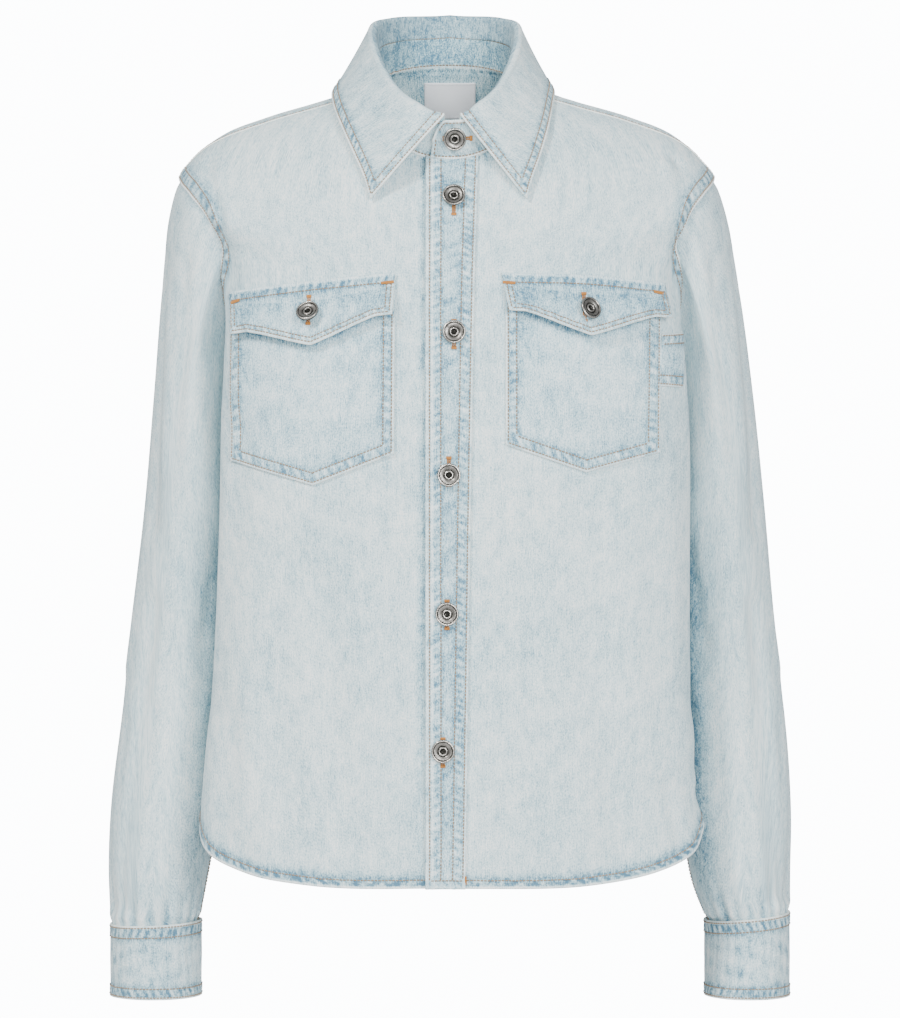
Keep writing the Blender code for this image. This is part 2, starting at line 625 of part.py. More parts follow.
def sleeve(side, name, collection, material):
    stations, swings = np.meshgrid(sleeve_stations(), sleeve_swings(), indexing="ij")
    points = sleeve_surface(side, swings, stations)
    add_wall(name, points, collection, material, CLOTH, around=True, mirror=side > 0)


def cuff_surface(side, swing, share, proud):
    """Outer face of a cuff; share 0 is its upper edge."""
    ring = sleeve_form(side, swing, np.ones_like(swing))
    outward = sleeve_outward(side, ring, np.ones_like(swing))
    points = ring + outward * np.broadcast_to(proud, swing.shape)[..., None]
    top = points[..., 2] - CUFF_GAP
    points[..., 2] = top + (CUFF_FOOT - top) * share
    return points


def cuff(side, name, collection, material):
    """A band once round the wrist, with one end lapped over the other."""
    shares = np.linspace(0.0, 1.0, CUFF_ROWS)
    turns = np.linspace(CUFF_LAP_ANGLE - FULL_TURN - CUFF_LAP, CUFF_LAP_ANGLE, CUFF_COLUMNS)
    share, turn = np.meshgrid(shares, turns, indexing="ij")
    lift = CUFF_LAP_LIFT * ease(turn, CUFF_LAP_ANGLE - CUFF_LAP - CUFF_LAP_RUN, CUFF_LAP_ANGLE - CUFF_LAP)
    points = cuff_surface(side, turn, share, CUFF_PROUD + lift)
    add_wall(name, points, collection, material, COLLAR_CLOTH, mirror=side > 0)


def sleeve_placket(side, name, collection, material):
    """The strip that finishes the slit above a cuff."""
    turns = np.linspace(CUFF_LAP_ANGLE - SLEEVE_PLACKET_WIDTH, CUFF_LAP_ANGLE, STRIP_STEPS)
    stations = np.linspace(SLEEVE_PLACKET_TOP, SLEEVE_PLACKET_FOOT, SLEEVE_PLACKET_ROWS)
    station, turn = np.meshgrid(stations, turns, indexing="ij")
    points = sleeve_surface(side, turn, station)
    normals = grid_normals(points) * (-side)
    points = points + normals * LAY_GAP
    add_wall(name, points, collection, material, FOLDED_CLOTH, lie=1.0, mirror=side > 0)


# ---------------------------------------------------------------- collar

def stand_edge(angle):
    """Upper edge of the collar stand."""
    side, turn = fold_angle(angle)
    half = np.where(side < 0.0, STAND_RIGHT_HALF, STAND_LEFT_HALF)
    forward = np.cos(turn)
    depth = np.where(forward > 0.0, -STAND_FRONT, STAND_BACK)
    return np.stack((side * half * np.sin(turn), depth * np.abs(forward),
                     STAND_TOP.read("height", turn)), axis=-1)


def stand_surface(angle, share):
    """Outer face of the stand; share 0 is its lower edge, on the neckline."""
    foot = body_form(angle, np.zeros_like(angle))
    foot[..., 2] += STAND_GAP
    return foot + (stand_edge(angle) - foot) * share[..., None]


def collar_turns():
    """Angles round the collar that meet the columns of the fronts and the yoke."""
    front = front_rows(BAND_FREE_EDGE, FRONT_COLUMNS)[0][0]
    front = np.concatenate(([-STAND_LAP], front[front > -STAND_LAP / 2.0]))
    return np.concatenate((front, yoke_grid(BACK_COLUMNS)[0][0][1:-1], FULL_TURN - front[::-1]))


def collar_stand(collection, material):
    """The band round the neck; its left end laps over the right one."""
    share, turn = np.meshgrid(np.linspace(1.0, 0.0, STAND_ROWS), collar_turns(), indexing="ij")
    points = stand_surface(turn, share)
    right_end = FULL_TURN - STAND_LAP
    points[..., 1] += STAND_LAP_DROP * ease(turn, right_end - STAND_LAP_RUN, right_end)
    points[0, [0, -1], 2] -= STAND_CORNER_DROP
    add_wall("collar_stand", points, collection, material, COLLAR_CLOTH, lie=0.0)


def leaf_section(angle):
    """Points of the leaf's section at each angle, from the stand up over the roll to the free edge."""
    side, turn = fold_angle(angle)
    foot = stand_edge(angle)
    foot[..., 2] += STAND_GAP
    out = np.stack((foot[..., 0] / STAND_RIGHT_HALF**2, foot[..., 1] / STAND_FRONT**2,
                    np.zeros_like(turn)), axis=-1)
    out /= np.linalg.norm(out, axis=-1, keepdims=True)
    up = np.array([0.0, 0.0, 1.0])
    rise = LEAF.read("roll_rise", turn)[..., None]
    roll = foot + up * rise + out * (LEAF_ROLL_OUT + LEAF_FOLD_RADIUS)
    edge_x = side * np.where(side < 0.0, LEAF.read("right_x", turn), LEAF.read("left_x", turn))
    edge = np.stack((edge_x, LEAF.read("edge_y", turn), LEAF.read("edge_z", turn)), axis=-1)
    radius = LEAF_FOLD_RADIUS
    inner = roll - out * radius - up * radius
    outer = roll + out * radius - up * radius
    fall = edge - outer
    shoulder, down = out * radius * LEAF_FOLD_OUT, up * radius * LEAF_FOLD_DOWN
    section = [foot, inner, roll - shoulder - down, roll + shoulder - down, outer]
    for share in LEAF_SHARES:
        bulge = LEAF_BULGE * math.sin(share * HALF_TURN)
        section.append(outer + fall * share + out * bulge)
    return np.stack(section, axis=0)


def collar_leaf(collection, material):
    """The leaf, folded over above the stand; its free edge comes first."""
    first, last = LEAF_ROWS[0][0], FULL_TURN - LEAF_ROWS[0][0]
    turns = collar_turns()
    turns = np.concatenate(([first], turns[(turns > first * 2.0) & (turns < last - first)], [last]))
    points = leaf_section(turns)[::-1]
    add_wall("collar_leaf", points, collection, material, COLLAR_CLOTH, lie=0.0)


# ---------------------------------------------------------------- what lies on the fronts

def on_front(x, z, lift):
    """Points that lie this far off the front's cloth and show at this x and z."""
    shift = np.zeros((*np.shape(x), 3))
    for _ in range(3):
        angles, stations = front_place(x - shift[..., 0], z - shift[..., 2])
        points = body(angles, stations)
        shift = grid_normals(points) * np.asarray(lift)[..., None]
    return points + shift


def placket_band(collection, material):
    """The strip down the left front's free edge."""
    shares = np.linspace(0.0, 1.0, STRIP_STEPS)
    stations = np.concatenate(([BAND_TOP_STATION], NECK_STATIONS[1:], ARM_STATIONS,
                               hem_stations(np.zeros(1))[:, 0]))
    inner = BAND_TOP_EDGE + (BAND_HEM_EDGE - BAND_TOP_EDGE) * stations / stations[-1]
    x = spread(np.full(stations.shape, BAND_FREE_EDGE), inner, shares)
    station = np.repeat(stations[:, None], len(shares), axis=1)
    points = body(angle_at(x, station), station)
    points = points + grid_normals(points) * LAY_GAP
    add_wall("placket_band", points, collection, material, FOLDED_CLOTH, lie=1.0)


def pocket(side, name, collection, material):
    """A breast pocket with a pointed lower edge."""
    sizes = POCKETS[side]
    corners = {key: np.array(value) for key, value in sizes.items()}
    first, last = ("inner", "outer") if side == "left" else ("outer", "inner")
    half = np.linspace(0.0, 0.5, POCKET_HALF_COLUMNS)
    across = np.concatenate((half, half[1:] + 0.5))
    rows = []
    for share in np.linspace(0.0, 1.0, POCKET_ROWS):
        row = []
        for step in across:
            top = corners["top_" + first] * (1.0 - step) + corners["top_" + last] * step
            if step <= 0.5:
                foot = corners["foot_" + first] + (corners["point"] - corners["foot_" + first]) * step * 2.0
            else:
                foot = corners["point"] + (corners["foot_" + last] - corners["point"]) * (step * 2.0 - 1.0)
            row.append(top + (foot - top) * share)
        rows.append(row)
    plan = np.array(rows)
    points = on_front(plan[..., 0], plan[..., 1], np.full(plan.shape[:2], LAY_GAP))
    add_wall(name, points, collection, material, FOLDED_CLOTH, lie=1.0)


def flap_drop(share, sizes, first, last):
    """How far the flap hangs at a share of its width, between its first and its last end."""
    inwards = np.minimum(share, 1.0 - share)
    slope = np.clip((inwards - FLAP_SHOULDER) / (0.5 - FLAP_SHOULDER), 0.0, 1.0)
    bow = slope + FLAP_ROUNDING * (ease(slope, 0.0, 1.0) - slope)
    end = np.where(share < 0.5, sizes[first + "_drop"], sizes[last + "_drop"])
    return end + (sizes["point_drop"] - end) * bow


def flap(side, name, collection, material):
    """A pointed flap that lies over its pocket and stands a little proud at the lower edge."""
    sizes = FLAPS[side]
    first, last = ("inner", "outer") if side == "left" else ("outer", "inner")
    across = np.linspace(0.0, 1.0, FLAP_COLUMNS)[None, :]
    down = np.linspace(0.0, 1.0, FLAP_ROWS)[:, None]
    start, end = np.array(sizes[first]), np.array(sizes[last])
    start_x = start[0] + sizes[first + "_lean"] * down
    end_x = end[0] - sizes[last + "_lean"] * down
    x = start_x + (end_x - start_x) * across
    z = start[1] + (end[1] - start[1]) * across - flap_drop(across, sizes, first, last) * down
    clear = LAY_GAP + (FOLDED_CLOTH + LAY_GAP) * ease(down, *FLAP_RISE)
    lift = np.broadcast_to(clear + (FLAP_LIFT - LAY_GAP) * down**2, x.shape)
    add_wall(name, on_front(x, z, lift), collection, material, FOLDED_CLOTH, lie=1.0)


def loop_tab(collection, material):
    """A small folded loop, caught in beside the left pocket."""
    (top_x, top_station), (foot_x, foot_station) = TAB_EDGE
    stations = np.linspace(top_station, foot_station, TAB_ROWS)
    edge = angle_at(np.linspace(top_x, foot_x, TAB_ROWS), stations)
    turn = spread(edge, edge + TAB_TURN, np.linspace(0.0, 1.0, STRIP_STEPS))
    points = body(turn, np.repeat(stations[:, None], STRIP_STEPS, axis=1))
    points = points + grid_normals(points) * LAY_GAP
    add_wall("loop_tab", points, collection, material, FOLDED_CLOTH, lie=1.0)


def neck_label(collection, material):
    """A plain woven label on the inner face of the yoke, below the back neck seam."""
    across = np.linspace(-LABEL_WIDTH / 2.0, LABEL_WIDTH / 2.0, LABEL_COLUMNS)
    heights = np.linspace(LABEL_TOP, LABEL_FOOT, LABEL_ROWS)
    z, x = np.meshgrid(heights, across, indexing="ij")
    low = np.full(x.shape, 0.0)
    high = np.full(x.shape, UNDERARM_STATION)
    for _ in range(SEARCH_STEPS):
        middle = (low + high) / 2.0
        above = body(HALF_TURN - angle_at(x, middle), middle)[..., 2] > z
        low, high = np.where(above, middle, low), np.where(above, high, middle)
    points = body(HALF_TURN - angle_at(x, low), low)
    points[..., 1] -= CLOTH + LAY_GAP
    add_wall("neck_label", points, collection, material, LABEL_CLOTH, lie=1.0)


# ---------------------------------------------------------------- buttons

def button_mesh():
    """Half section of a button; the Screw modifier of each button turns it."""
    mesh = bpy.data.meshes.new("button_section")
    points = [(radius * MM, 0.0, height * MM) for radius, height in BUTTON_PROFILE]
    mesh.from_pydata(points, [(step, step + 1) for step in range(len(points) - 1)], [])
    return mesh


def add_button(name, mesh, place, normal, collection, material):
    piece = bpy.data.objects.new(name, mesh)
    if not mesh.materials:
        mesh.materials.append(material)
    collection.objects.link(piece)
    turned = piece.modifiers.new("turned", "SCREW")
    turned.steps = BUTTON_STEPS
    turned.render_steps = BUTTON_STEPS
    turned.use_merge_vertices = True
    turned.merge_threshold = 0.00005
    turned.use_smooth_shade = True
    piece.location = Vector(place) * MM
    piece.rotation_euler = Vector(normal).to_track_quat("Z", "Y").to_euler()
    return piece


def surface_frame(points):
    """Middle point and normal of a small grid of three by three points."""
    return points[1, 1], grid_normals(points)[1, 1]


def around_place(x, z, reach=6.0):
    """Three by three places round a place on the front."""
    grid_z, grid_x = np.meshgrid(z + np.array([reach, 0.0, -reach]), x + np.array([-reach, 0.0, reach]),
                                 indexing="ij")
    return grid_x, grid_z


def buttons(collection, material):
    mesh = button_mesh()
    band_top = LAY_GAP + FOLDED_CLOTH + BUTTON_GAP
    flap_top = 2.0 * (LAY_GAP + FOLDED_CLOTH) + FLAP_LIFT / 2.0 + BUTTON_GAP
    for place, (x, z) in enumerate(BAND_BUTTONS, start=1):
        grid_x, grid_z = around_place(x, z)
        point, normal = surface_frame(on_front(grid_x, grid_z, np.full(grid_x.shape, band_top)))
        add_button(f"button_placket_{place}", mesh, point, normal, collection, material)
    for side, (x, z) in FLAP_BUTTONS.items():
        grid_x, grid_z = around_place(x, z)
        point, normal = surface_frame(on_front(grid_x, grid_z, np.full(grid_x.shape, flap_top)))
        add_button(f"button_flap_{side}", mesh, point, normal, collection, material)
    share, turn = np.meshgrid(STAND_BUTTON[1] + np.array([0.15, 0.0, -0.15]),
                              STAND_BUTTON[0] + np.array([-0.06, 0.0, 0.06]), indexing="ij")
    point, normal = surface_frame(stand_surface(turn, share))
    point = point + normal * (COLLAR_CLOTH / 2.0 + BUTTON_GAP)
    add_button("button_collar", mesh, point, normal, collection, material)
    for side, name in ((-1.0, "right"), (1.0, "left")):
        share, turn = np.meshgrid(CUFF_BUTTON_HEIGHT + np.array([-0.1, 0.0, 0.1]),
                                  CUFF_LAP_ANGLE - CUFF_LAP / 2.0 + np.array([-0.08, 0.0, 0.08]),
                                  indexing="ij")
        lift = np.full(share.shape, CUFF_PROUD + CUFF_LAP_LIFT)
        point, normal = surface_frame(cuff_surface(side, turn, share, lift))
        normal = normal * -side
        point = point + normal * BUTTON_GAP
        add_button(f"button_cuff_{name}", mesh, point, normal, collection, material)


# ---------------------------------------------------------------- the shirt

def main():
    for item in list(bpy.data.objects):
        bpy.data.objects.remove(item, do_unlink=True)
    collection = bpy.data.collections.new("denim_shirt")
    bpy.context.scene.collection.children.link(collection)
    denim = cloth_material("washed_denim", PALE_DENIM, 0.9)
    trim = cloth_material("blue_denim", BLUE_DENIM, 0.9)
    tape = cloth_material("label_tape", WHITE_TAPE, 0.7)
    metal = cloth_material("old_silver", OLD_SILVER, 0.35, metallic=1.0)

    right_front(collection, denim)
    left_front(collection, denim)
    back_panel(collection, denim)
    yoke(collection, denim)
    for side, name in ((-1.0, "right"), (1.0, "left")):
        sleeve(side, f"sleeve_{name}", collection, denim)
        cuff(side, f"cuff_{name}", collection, denim)
        sleeve_placket(side, f"sleeve_placket_{name}", collection, denim)
        pocket(name, f"pocket_{name}", collection, trim)
        flap(name, f"flap_{name}", collection, trim)
    collar_stand(collection, denim)
    collar_leaf(collection, denim)
    placket_band(collection, trim)
    loop_tab(collection, trim)
    neck_label(collection, tape)
    buttons(collection, metal)


main()
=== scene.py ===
"""Finish of a washed denim shirt: cloth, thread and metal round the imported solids.

The shirt is filled out as it is worn, with nobody in it. +X is the wearer's left, -Y the
front and +Z up. Sizes are in millimetres and become metres where a mesh is made.
"""

import math
from collections import namedtuple
from functools import cache, partial

import bpy
import numpy as np
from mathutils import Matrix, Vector


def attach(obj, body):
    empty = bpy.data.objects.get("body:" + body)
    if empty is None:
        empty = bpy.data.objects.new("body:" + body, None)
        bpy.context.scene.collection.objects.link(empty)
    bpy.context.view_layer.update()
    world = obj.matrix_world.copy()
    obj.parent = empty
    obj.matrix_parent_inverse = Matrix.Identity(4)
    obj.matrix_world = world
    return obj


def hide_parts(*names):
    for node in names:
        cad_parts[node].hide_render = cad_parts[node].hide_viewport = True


bl_info = {
    "name": "Denim Shirt Finish",
    "version": (1, 0, 0),
    "blender": (4, 5, 0),
    "location": "3D View > Sidebar > Shirt",
    "description": "Dresses the solids of a denim shirt in cloth, thread and metal",
    "category": "Object",
}

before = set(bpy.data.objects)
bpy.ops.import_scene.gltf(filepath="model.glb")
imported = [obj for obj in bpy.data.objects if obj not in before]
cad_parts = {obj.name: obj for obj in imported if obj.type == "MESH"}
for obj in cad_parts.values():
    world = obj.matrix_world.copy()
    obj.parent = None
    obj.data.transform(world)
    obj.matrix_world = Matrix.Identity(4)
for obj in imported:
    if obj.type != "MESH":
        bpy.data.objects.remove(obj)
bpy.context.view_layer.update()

MM = 0.001
HALF_TURN = math.pi
FULL_TURN = 2.0 * math.pi

# ---------------------------------------------------------------- sizes shared with the solids

BAND_FREE_EDGE = -18.3
BAND_TOP_EDGE = 21.0
BAND_HEM_EDGE = 11.3
BAND_TOP_STATION = 3.0
UNDERLAP_EDGE = 16.0
UNDERLAP_DROP = 2.5
UNDERLAP_RUN = 34.0
UNDERLAP_FULL = 4.0

# The body: every row is a ring round the shirt, from the neck down to below the hem
BODY_COLUMNS = ("station", "right_width", "left_width", "front_depth", "back_depth",
                "side_z", "front_z", "back_z", "pinch")
BODY_ROWS = (
    (0, 62, 58, 78, 62, 3, -59, 25, 0.00),
    (36, 101, 98, 86, 70, -9, -75, 8, 0.00),
    (76, 141, 139, 94, 79, -21, -92, -12, 0.00),
    (110, 174, 170.5, 100, 85.5, -34, -107, -30, 0.00),
    (138, 197, 191.5, 104.5, 90, -52, -119, -47, 0.00),
    (155, 208, 203, 107, 92.5, -68, -127, -58, 0.00),
    (200, 183, 183, 112, 99, -110, -150, -95, 0.06),
    (250, 171, 175, 118, 104, -158, -187, -145, 0.14),
    (300, 171, 178, 121.5, 106, -207, -225, -198, 0.20),
    (345, 173, 181.5, 123, 105, -254, -264, -250, 0.24),
    (395, 174, 182.5, 123.5, 101, -304, -309, -303, 0.24),
    (445, 175.5, 182.5, 123, 98, -354, -356, -354, 0.23),
    (545, 180.5, 183.5, 122, 97, -454, -454, -454, 0.23),
    (600, 185, 185, 121, 98, -509, -509, -509, 0.22),
    (628, 187.5, 183.5, 120.5, 98.5, -537, -537, -537, 0.21),
    (656, 189, 189.5, 120, 99, -565, -565, -565, 0.20),
    (720, 190, 190, 118, 100, -629, -629, -629, 0.16),
)
BODY_SQUARENESS = 2.4
DROP_POWER = 1.3
SIDE_ANGLE = 1.67
PINCH_REACH = 0.82

SHOULDER_STATION = 155.0
UNDERARM_STATION = 345.0
YOKE_FORWARD = 19.0
SHOULDER_FORWARD = 5.5
FORWARD_EASE = (92.0, 155.0)
ARMHOLE_BACK = 0.46
ARMHOLE_SKEW = 0.18
# The front half of the armhole, by its share of the way from the shoulder to the underarm
ARMHOLE_COLUMNS = ("share", "angle", "station")
ARMHOLE_ROWS = (
    (0.00, 1.542, 155),
    (0.08, 1.370, 155.3),
    (0.16, 1.205, 156.8),
    (0.205, 1.118, 161),
    (0.245, 1.066, 168.5),
    (0.285, 1.062, 178.5),
    (0.33, 1.092, 191),
    (0.39, 1.132, 208),
    (0.465, 1.230, 229),
    (0.545, 1.345, 250.5),
    (0.65, 1.440, 277),
    (0.785, 1.520, 306.5),
    (0.90, 1.600, 333),
    (0.95, 1.640, 341),
    (1.00, 1.670, 345),
)
YOKE_BACK_SWING = 5.0 / 11.0 * HALF_TURN

HEM_COLUMNS = ("angle", "station")
HEM_ROWS = (
    (0.00, 695.5),
    (0.45, 694),
    (0.75, 685),
    (0.98, 671),
    (1.18, 650),
    (1.40, 638),
    (1.67, 637),
    (1.95, 643),
    (2.25, 662),
    (2.60, 686),
    (3.1416, 694),
)

# Folds, each a trough or ridge: from an angle and station to another, how far it reaches to
# each side and its rise. The sleeves' go by swing and share of the length
BODY_FOLDS = (
    (1.12, 172, 1.04, 232, 13, -3),
    (-1.10, 172, -1.02, 222, 13, -3),
    (0.95, 330, 1.05, 560, 16, -3),
    (-0.86, 350, -0.98, 560, 17, -3),
    (1.28, 560, 1.22, 625, 11, -5),
    (1.10, 620, 1.22, 668, 10, 4),
    (-0.42, 470, -0.30, 660, 15, -2.5),
    (0.42, 500, 0.56, 668, 17, -2.5),
    (-0.72, 560, -0.62, 680, 15, 2.5),
    (2.45, 330, 2.62, 640, 20, -5),
    (-2.50, 340, -2.68, 640, 20, -5),
    (3.05, 300, 3.20, 600, 22, -4),
    (2.05, 230, 2.42, 330, 12, -4.5),
    (-2.05, 236, -2.40, 338, 12, -4.5),
)

SLEEVE_COLUMNS = ("station", "right_outer_x", "left_outer_x", "right_outer_z", "left_outer_z",
                  "right_inner_x", "left_inner_x", "inner_z", "centre_y", "half_depth")
SLEEVE_ROWS = (
    (0.00, 208, 203, -68, -68, 149, 156.5, -254, 12, 70),
    (0.06, 216, 213, -100, -100, 156.5, 164, -272, 17, 73),
    (0.15, 222.5, 224, -160, -160, 161.5, 168.5, -300, 24, 73.5),
    (0.28, 229, 234.5, -236, -236, 164, 171, -342, 30, 70),
    (0.42, 236.5, 243.5, -322, -322, 167, 173, -398, 32, 64),
    (0.56, 246.5, 251, -408, -408, 170.5, 175, -457, 30, 59),
    (0.70, 255, 260, -484, -484, 175, 177.5, -515, 24, 55),
    (0.84, 262.5, 263.5, -560, -558, 181.5, 180.5, -575, 16, 52),
    (0.94, 263, 262, -612, -603, 188, 187.5, -614, 9, 48),
    (1.00, 260.8, 260.8, -641.5, -632, 192.6, 197.2, -638.5, 6, 41.5),
)
SLEEVE_SQUARENESS = 2.15
SLEEVE_LOOP_FADE = 0.30
SLEEVE_CALM_TOP = 0.08
SLEEVE_CALM_FOOT = 0.97
SLEEVE_FOLDS = (
    (0.35, 0.10, 0.75, 0.42, 10, -3.5),
    (0.05, 0.62, 0.30, 0.97, 9, -4.5),
    (1.00, 0.52, 0.80, 0.96, 9, -3.5),
    (5.60, 0.40, 5.35, 0.66, 10, -4),
    (4.70, 0.30, 4.30, 0.50, 11, -4),
    (4.95, 0.72, 4.75, 0.95, 9, -3.5),
    (3.60, 0.55, 3.85, 0.92, 9, -3),
)

CUFF_FOOT = -696.6
CUFF_PROUD = 1.0
CUFF_LAP = 0.46
CUFF_LAP_ANGLE = 4.62
CUFF_LAP_LIFT = 2.6
CUFF_LAP_RUN = 0.55
SLEEVE_PLACKET_WIDTH = 0.50
SLEEVE_PLACKET_TOP = 0.815
SLEEVE_PLACKET_FOOT = 0.985

STAND_COLUMNS = ("angle", "height")
STAND_TOP_ROWS = (
    (0.00, -31),
    (0.35, -29),
    (0.70, -19),
    (1.05, -1),
    (1.40, 19),
    (1.75, 33.5),
    (2.30, 44),
    (3.1416, 49),
)
STAND_RIGHT_HALF = 56.5
STAND_LEFT_HALF = 49.0
STAND_FRONT = 86.0
STAND_BACK = 70.0
STAND_LAP = 0.17
STAND_LAP_DROP = 2.9
STAND_LAP_RUN = 0.75

LEAF_COLUMNS = ("angle", "roll_rise", "right_x", "left_x", "edge_y", "edge_z")
LEAF_ROWS = (
    (0.06, 5, 59.2, 57.2, -95, -91.2),
    (0.35, 8, 64.5, 62, -86.8, -74),
    (0.70, 11.5, 72, 68, -74.3, -56.5),
    (1.05, 15, 80.5, 73.5, -57.8, -37),
    (1.40, 16.6, 88, 77.5, -33.5, -17),
    (1.75, 16.6, 89.5, 79.5, -4, -1.5),
    (2.10, 15.4, 82, 75, 33, 7),
    (2.60, 15.2, 47, 45, 74, 13),
    (3.1416, 15.3, 0, 0, 87, 15),
)
LEAF_ROLL_OUT = 0.8
LEAF_FOLD_RADIUS = 2.9
LEAF_BULGE = -0.8
LEAF_LIFT = 5.0

POCKETS = {
    "right": {
        "top_inner": (-41.2, -176.0), "top_outer": (-165.3, -188.0),
        "foot_inner": (-41.8, -281.6), "foot_outer": (-166.8, -286.0),
        "point": (-101.9, -304.8),
    },
    "left": {
        "top_inner": (41.4, -168.0), "top_outer": (158.2, -176.0),
        "foot_inner": (41.4, -274.8), "foot_outer": (157.0, -280.0),
        "point": (101.2, -295.1),
    },
}
FLAPS = {
    "right": {"inner": (-40.8, -146.9), "outer": (-166.9, -159.2), "inner_drop": 31.3,
              "outer_drop": 32.0, "point_drop": 47.6, "inner_lean": 2.2, "outer_lean": 2.2, "bow": 0.4,
              "blue": 0.14},
    "left": {"inner": (38.2, -147.0), "outer": (162.2, -152.8), "inner_drop": 28.2,
             "outer_drop": 26.4, "point_drop": 43.4, "inner_lean": 5.9, "outer_lean": -4.4, "bow": 1.8,
             "blue": 0.33},
}
FLAP_SHOULDER = 0.10
FLAP_ROUNDING = 0.18
TAB_EDGE = ((158.2, 270.3), (154.6, 313.0))
TAB_TURN = 0.228
TAB_NARROWS = 0.84
TAB_SLOPE = 3.5

LABEL_WIDTH = 40.0
LABEL_TOP = 12.0
LABEL_FOOT = -15.0

# Buttons: x, z, and how far the buttonhole's middle lies above the button's
BAND_BUTTONS = (
    (2.9, -89, -4.2),
    (3, -191.5, -1.5),
    (-0.8, -297.5, 2.5),
    (-2.2, -400.4, -0.5),
    (-5.2, -502, -1),
)
# Flap buttons also say how far the hole lies to the side and how the button leans
FLAP_BUTTONS = {"right": (-105.1, -177.6, 3.0, 0.0, (0.0, 0.62)),
                "left": (102.8, -174.4, 1.8, -3.0, (0.42, 0.30))}
STAND_BUTTON = (0.045, 0.52)
CUFF_BUTTON_HEIGHT = 0.5

# ---------------------------------------------------------------- sizes of the finish

PANEL_WALL = 0.9            # single cloth of the panels
STRIP_WALL = 1.3            # strips, pockets and flaps
CUFF_WALL = 1.9
LAY_GAP = 0.25              # under a strip or pocket that lies on a panel
FINE_STEP = 1.3             # spacing of a panel's points near a seam
SEAM_REACH = 11.0           # how far from a seam the points stay that close
HOLE_LENGTH = 20.5          # of a buttonhole
BAR_LENGTH = 9.5            # of a bar tack

# Creases besides the folds of the solids, in the same form: the fronts' go by x and z as
# they show, the back's by angle and station, the sleeves' by swing and share of the length
# and the leaf's by angle and share of its fall
FRONT_CREASES = (
    (-184, -56, -172, -102, 5, -1.6),
    (-177, -66, -166, -108, 4, 0.9),
    (173, -58, 172, -128, 4.5, -2.4),
    (164, -62, 163, -132, 7, 1.8),
    (94, -78, 92, -132, 13, -1),
    (122, -66, 124, -112, 12, -0.9),
    (-70, -70, -78, -128, 14, 0.8),
    (-27, -395, -26, -585, 6, 1.1),
    (-120, -360, -128, -520, 17, -1.3),
    (-66, -330, -60, -470, 15, 0.9),
    (58, -340, 66, -500, 16, -0.9),
    (132, -330, 141, -470, 14, 1.1),
    (108, -470, 96, -590, 13, 0.9),
    (-28, -128, -24, -180, 4, -0.8),
    (30, -70, 26, -120, 5, -1),
    (28, -300, 22, -350, 5, 0.7),
    (-150, -470, -156, -560, 9, 1),
    (163, -530, 172, -575, 7, -1.4),
)
BACK_CREASES = (
    (2.85, 260, 2.70, 380, 13, 1.5),
    (-2.80, 262, -2.72, 400, 14, 1.4),
    (2.20, 420, 2.34, 600, 12, 1.6),
    (-2.22, 400, -2.30, 560, 13, 1.5),
    (-2.95, 430, -2.90, 640, 12, -1.2),
    (2.80, 470, 2.92, 650, 11, -1.2),
    (1.95, 320, 2.15, 420, 9, -1.8),
    (-1.92, 326, -2.10, 410, 9, -1.8),
)
SLEEVE_CREASES = (
    (1.05, 0.05, 1.25, 0.30, 7, -1.6),
    (0.70, 0.12, 0.95, 0.34, 7, 1.2),
    (1.35, 0.40, 1.75, 0.58, 8, 1.3),
    (0.55, 0.45, 0.35, 0.62, 8, 1.3),
    (1.25, 0.66, 1.05, 0.98, 6, -1.8),
    (0.62, 0.70, 0.55, 0.98, 6, -1.6),
    (1.75, 0.62, 1.62, 0.97, 7, 1.2),
    (2.30, 0.35, 2.05, 0.52, 7, -1.8),
    (2.45, 0.50, 2.20, 0.64, 6, 1.3),
    (4.20, 0.12, 3.90, 0.34, 9, -2),
    (5.10, 0.20, 5.30, 0.42, 9, 1.6),
    (5.60, 0.70, 5.50, 0.96, 7, -1.6),
    (4.30, 0.62, 4.05, 0.80, 8, 1.5),
)
LEAF_CREASES = (
    (0.42, 0.30, 0.62, 0.60, 3, 0.5),
    (0.66, 0.22, 0.86, 0.66, 3.4, -0.5),
    (0.98, 0.30, 1.10, 0.72, 4, 0.6),
    (1.25, 0.24, 1.36, 0.62, 4, -0.5),
    (5.85, 0.30, 5.68, 0.62, 3, 0.5),
    (5.52, 0.22, 5.40, 0.66, 3.6, -0.5),
    (5.22, 0.28, 5.10, 0.70, 4, 0.6),
    (2.70, 0.30, 2.78, 0.75, 6, 0.5),
    (3.50, 0.34, 3.42, 0.80, 6, -0.5),
)

# Seeds of the puckers along the seams and of other uneven runs
SEEDS = {
    "front_left": 11, "front_right": 21, "back": 31, "yoke": 41, "sleeve_right": 50, "sleeve_left": 52,
    "cuff_right": 62, "cuff_left": 64, "sleeve_placket_right": 70, "sleeve_placket_left": 72,
    "collar_stand": 81, "collar_leaf": 91, "neck_label": 95, "placket_band": 103,
    "pocket_left": 111, "pocket_right": 121, "flap_left": 133, "flap_right": 143, "loop_tab": 151,
    "gathers_right": 49, "gathers_left": 51, "ribs_right": 60, "ribs_left": 62,
    "clouds_right": 64, "clouds_left": 66, "clouds": 67, "band_waves": 101, "band_clouds": 102,
    "flap_waves_left": 131, "flap_waves_right": 132, "flap_clouds": 135,
}
SIDE_NAMES = {-1.0: "right", 1.0: "left"}

# ---------------------------------------------------------------- the shirt's form

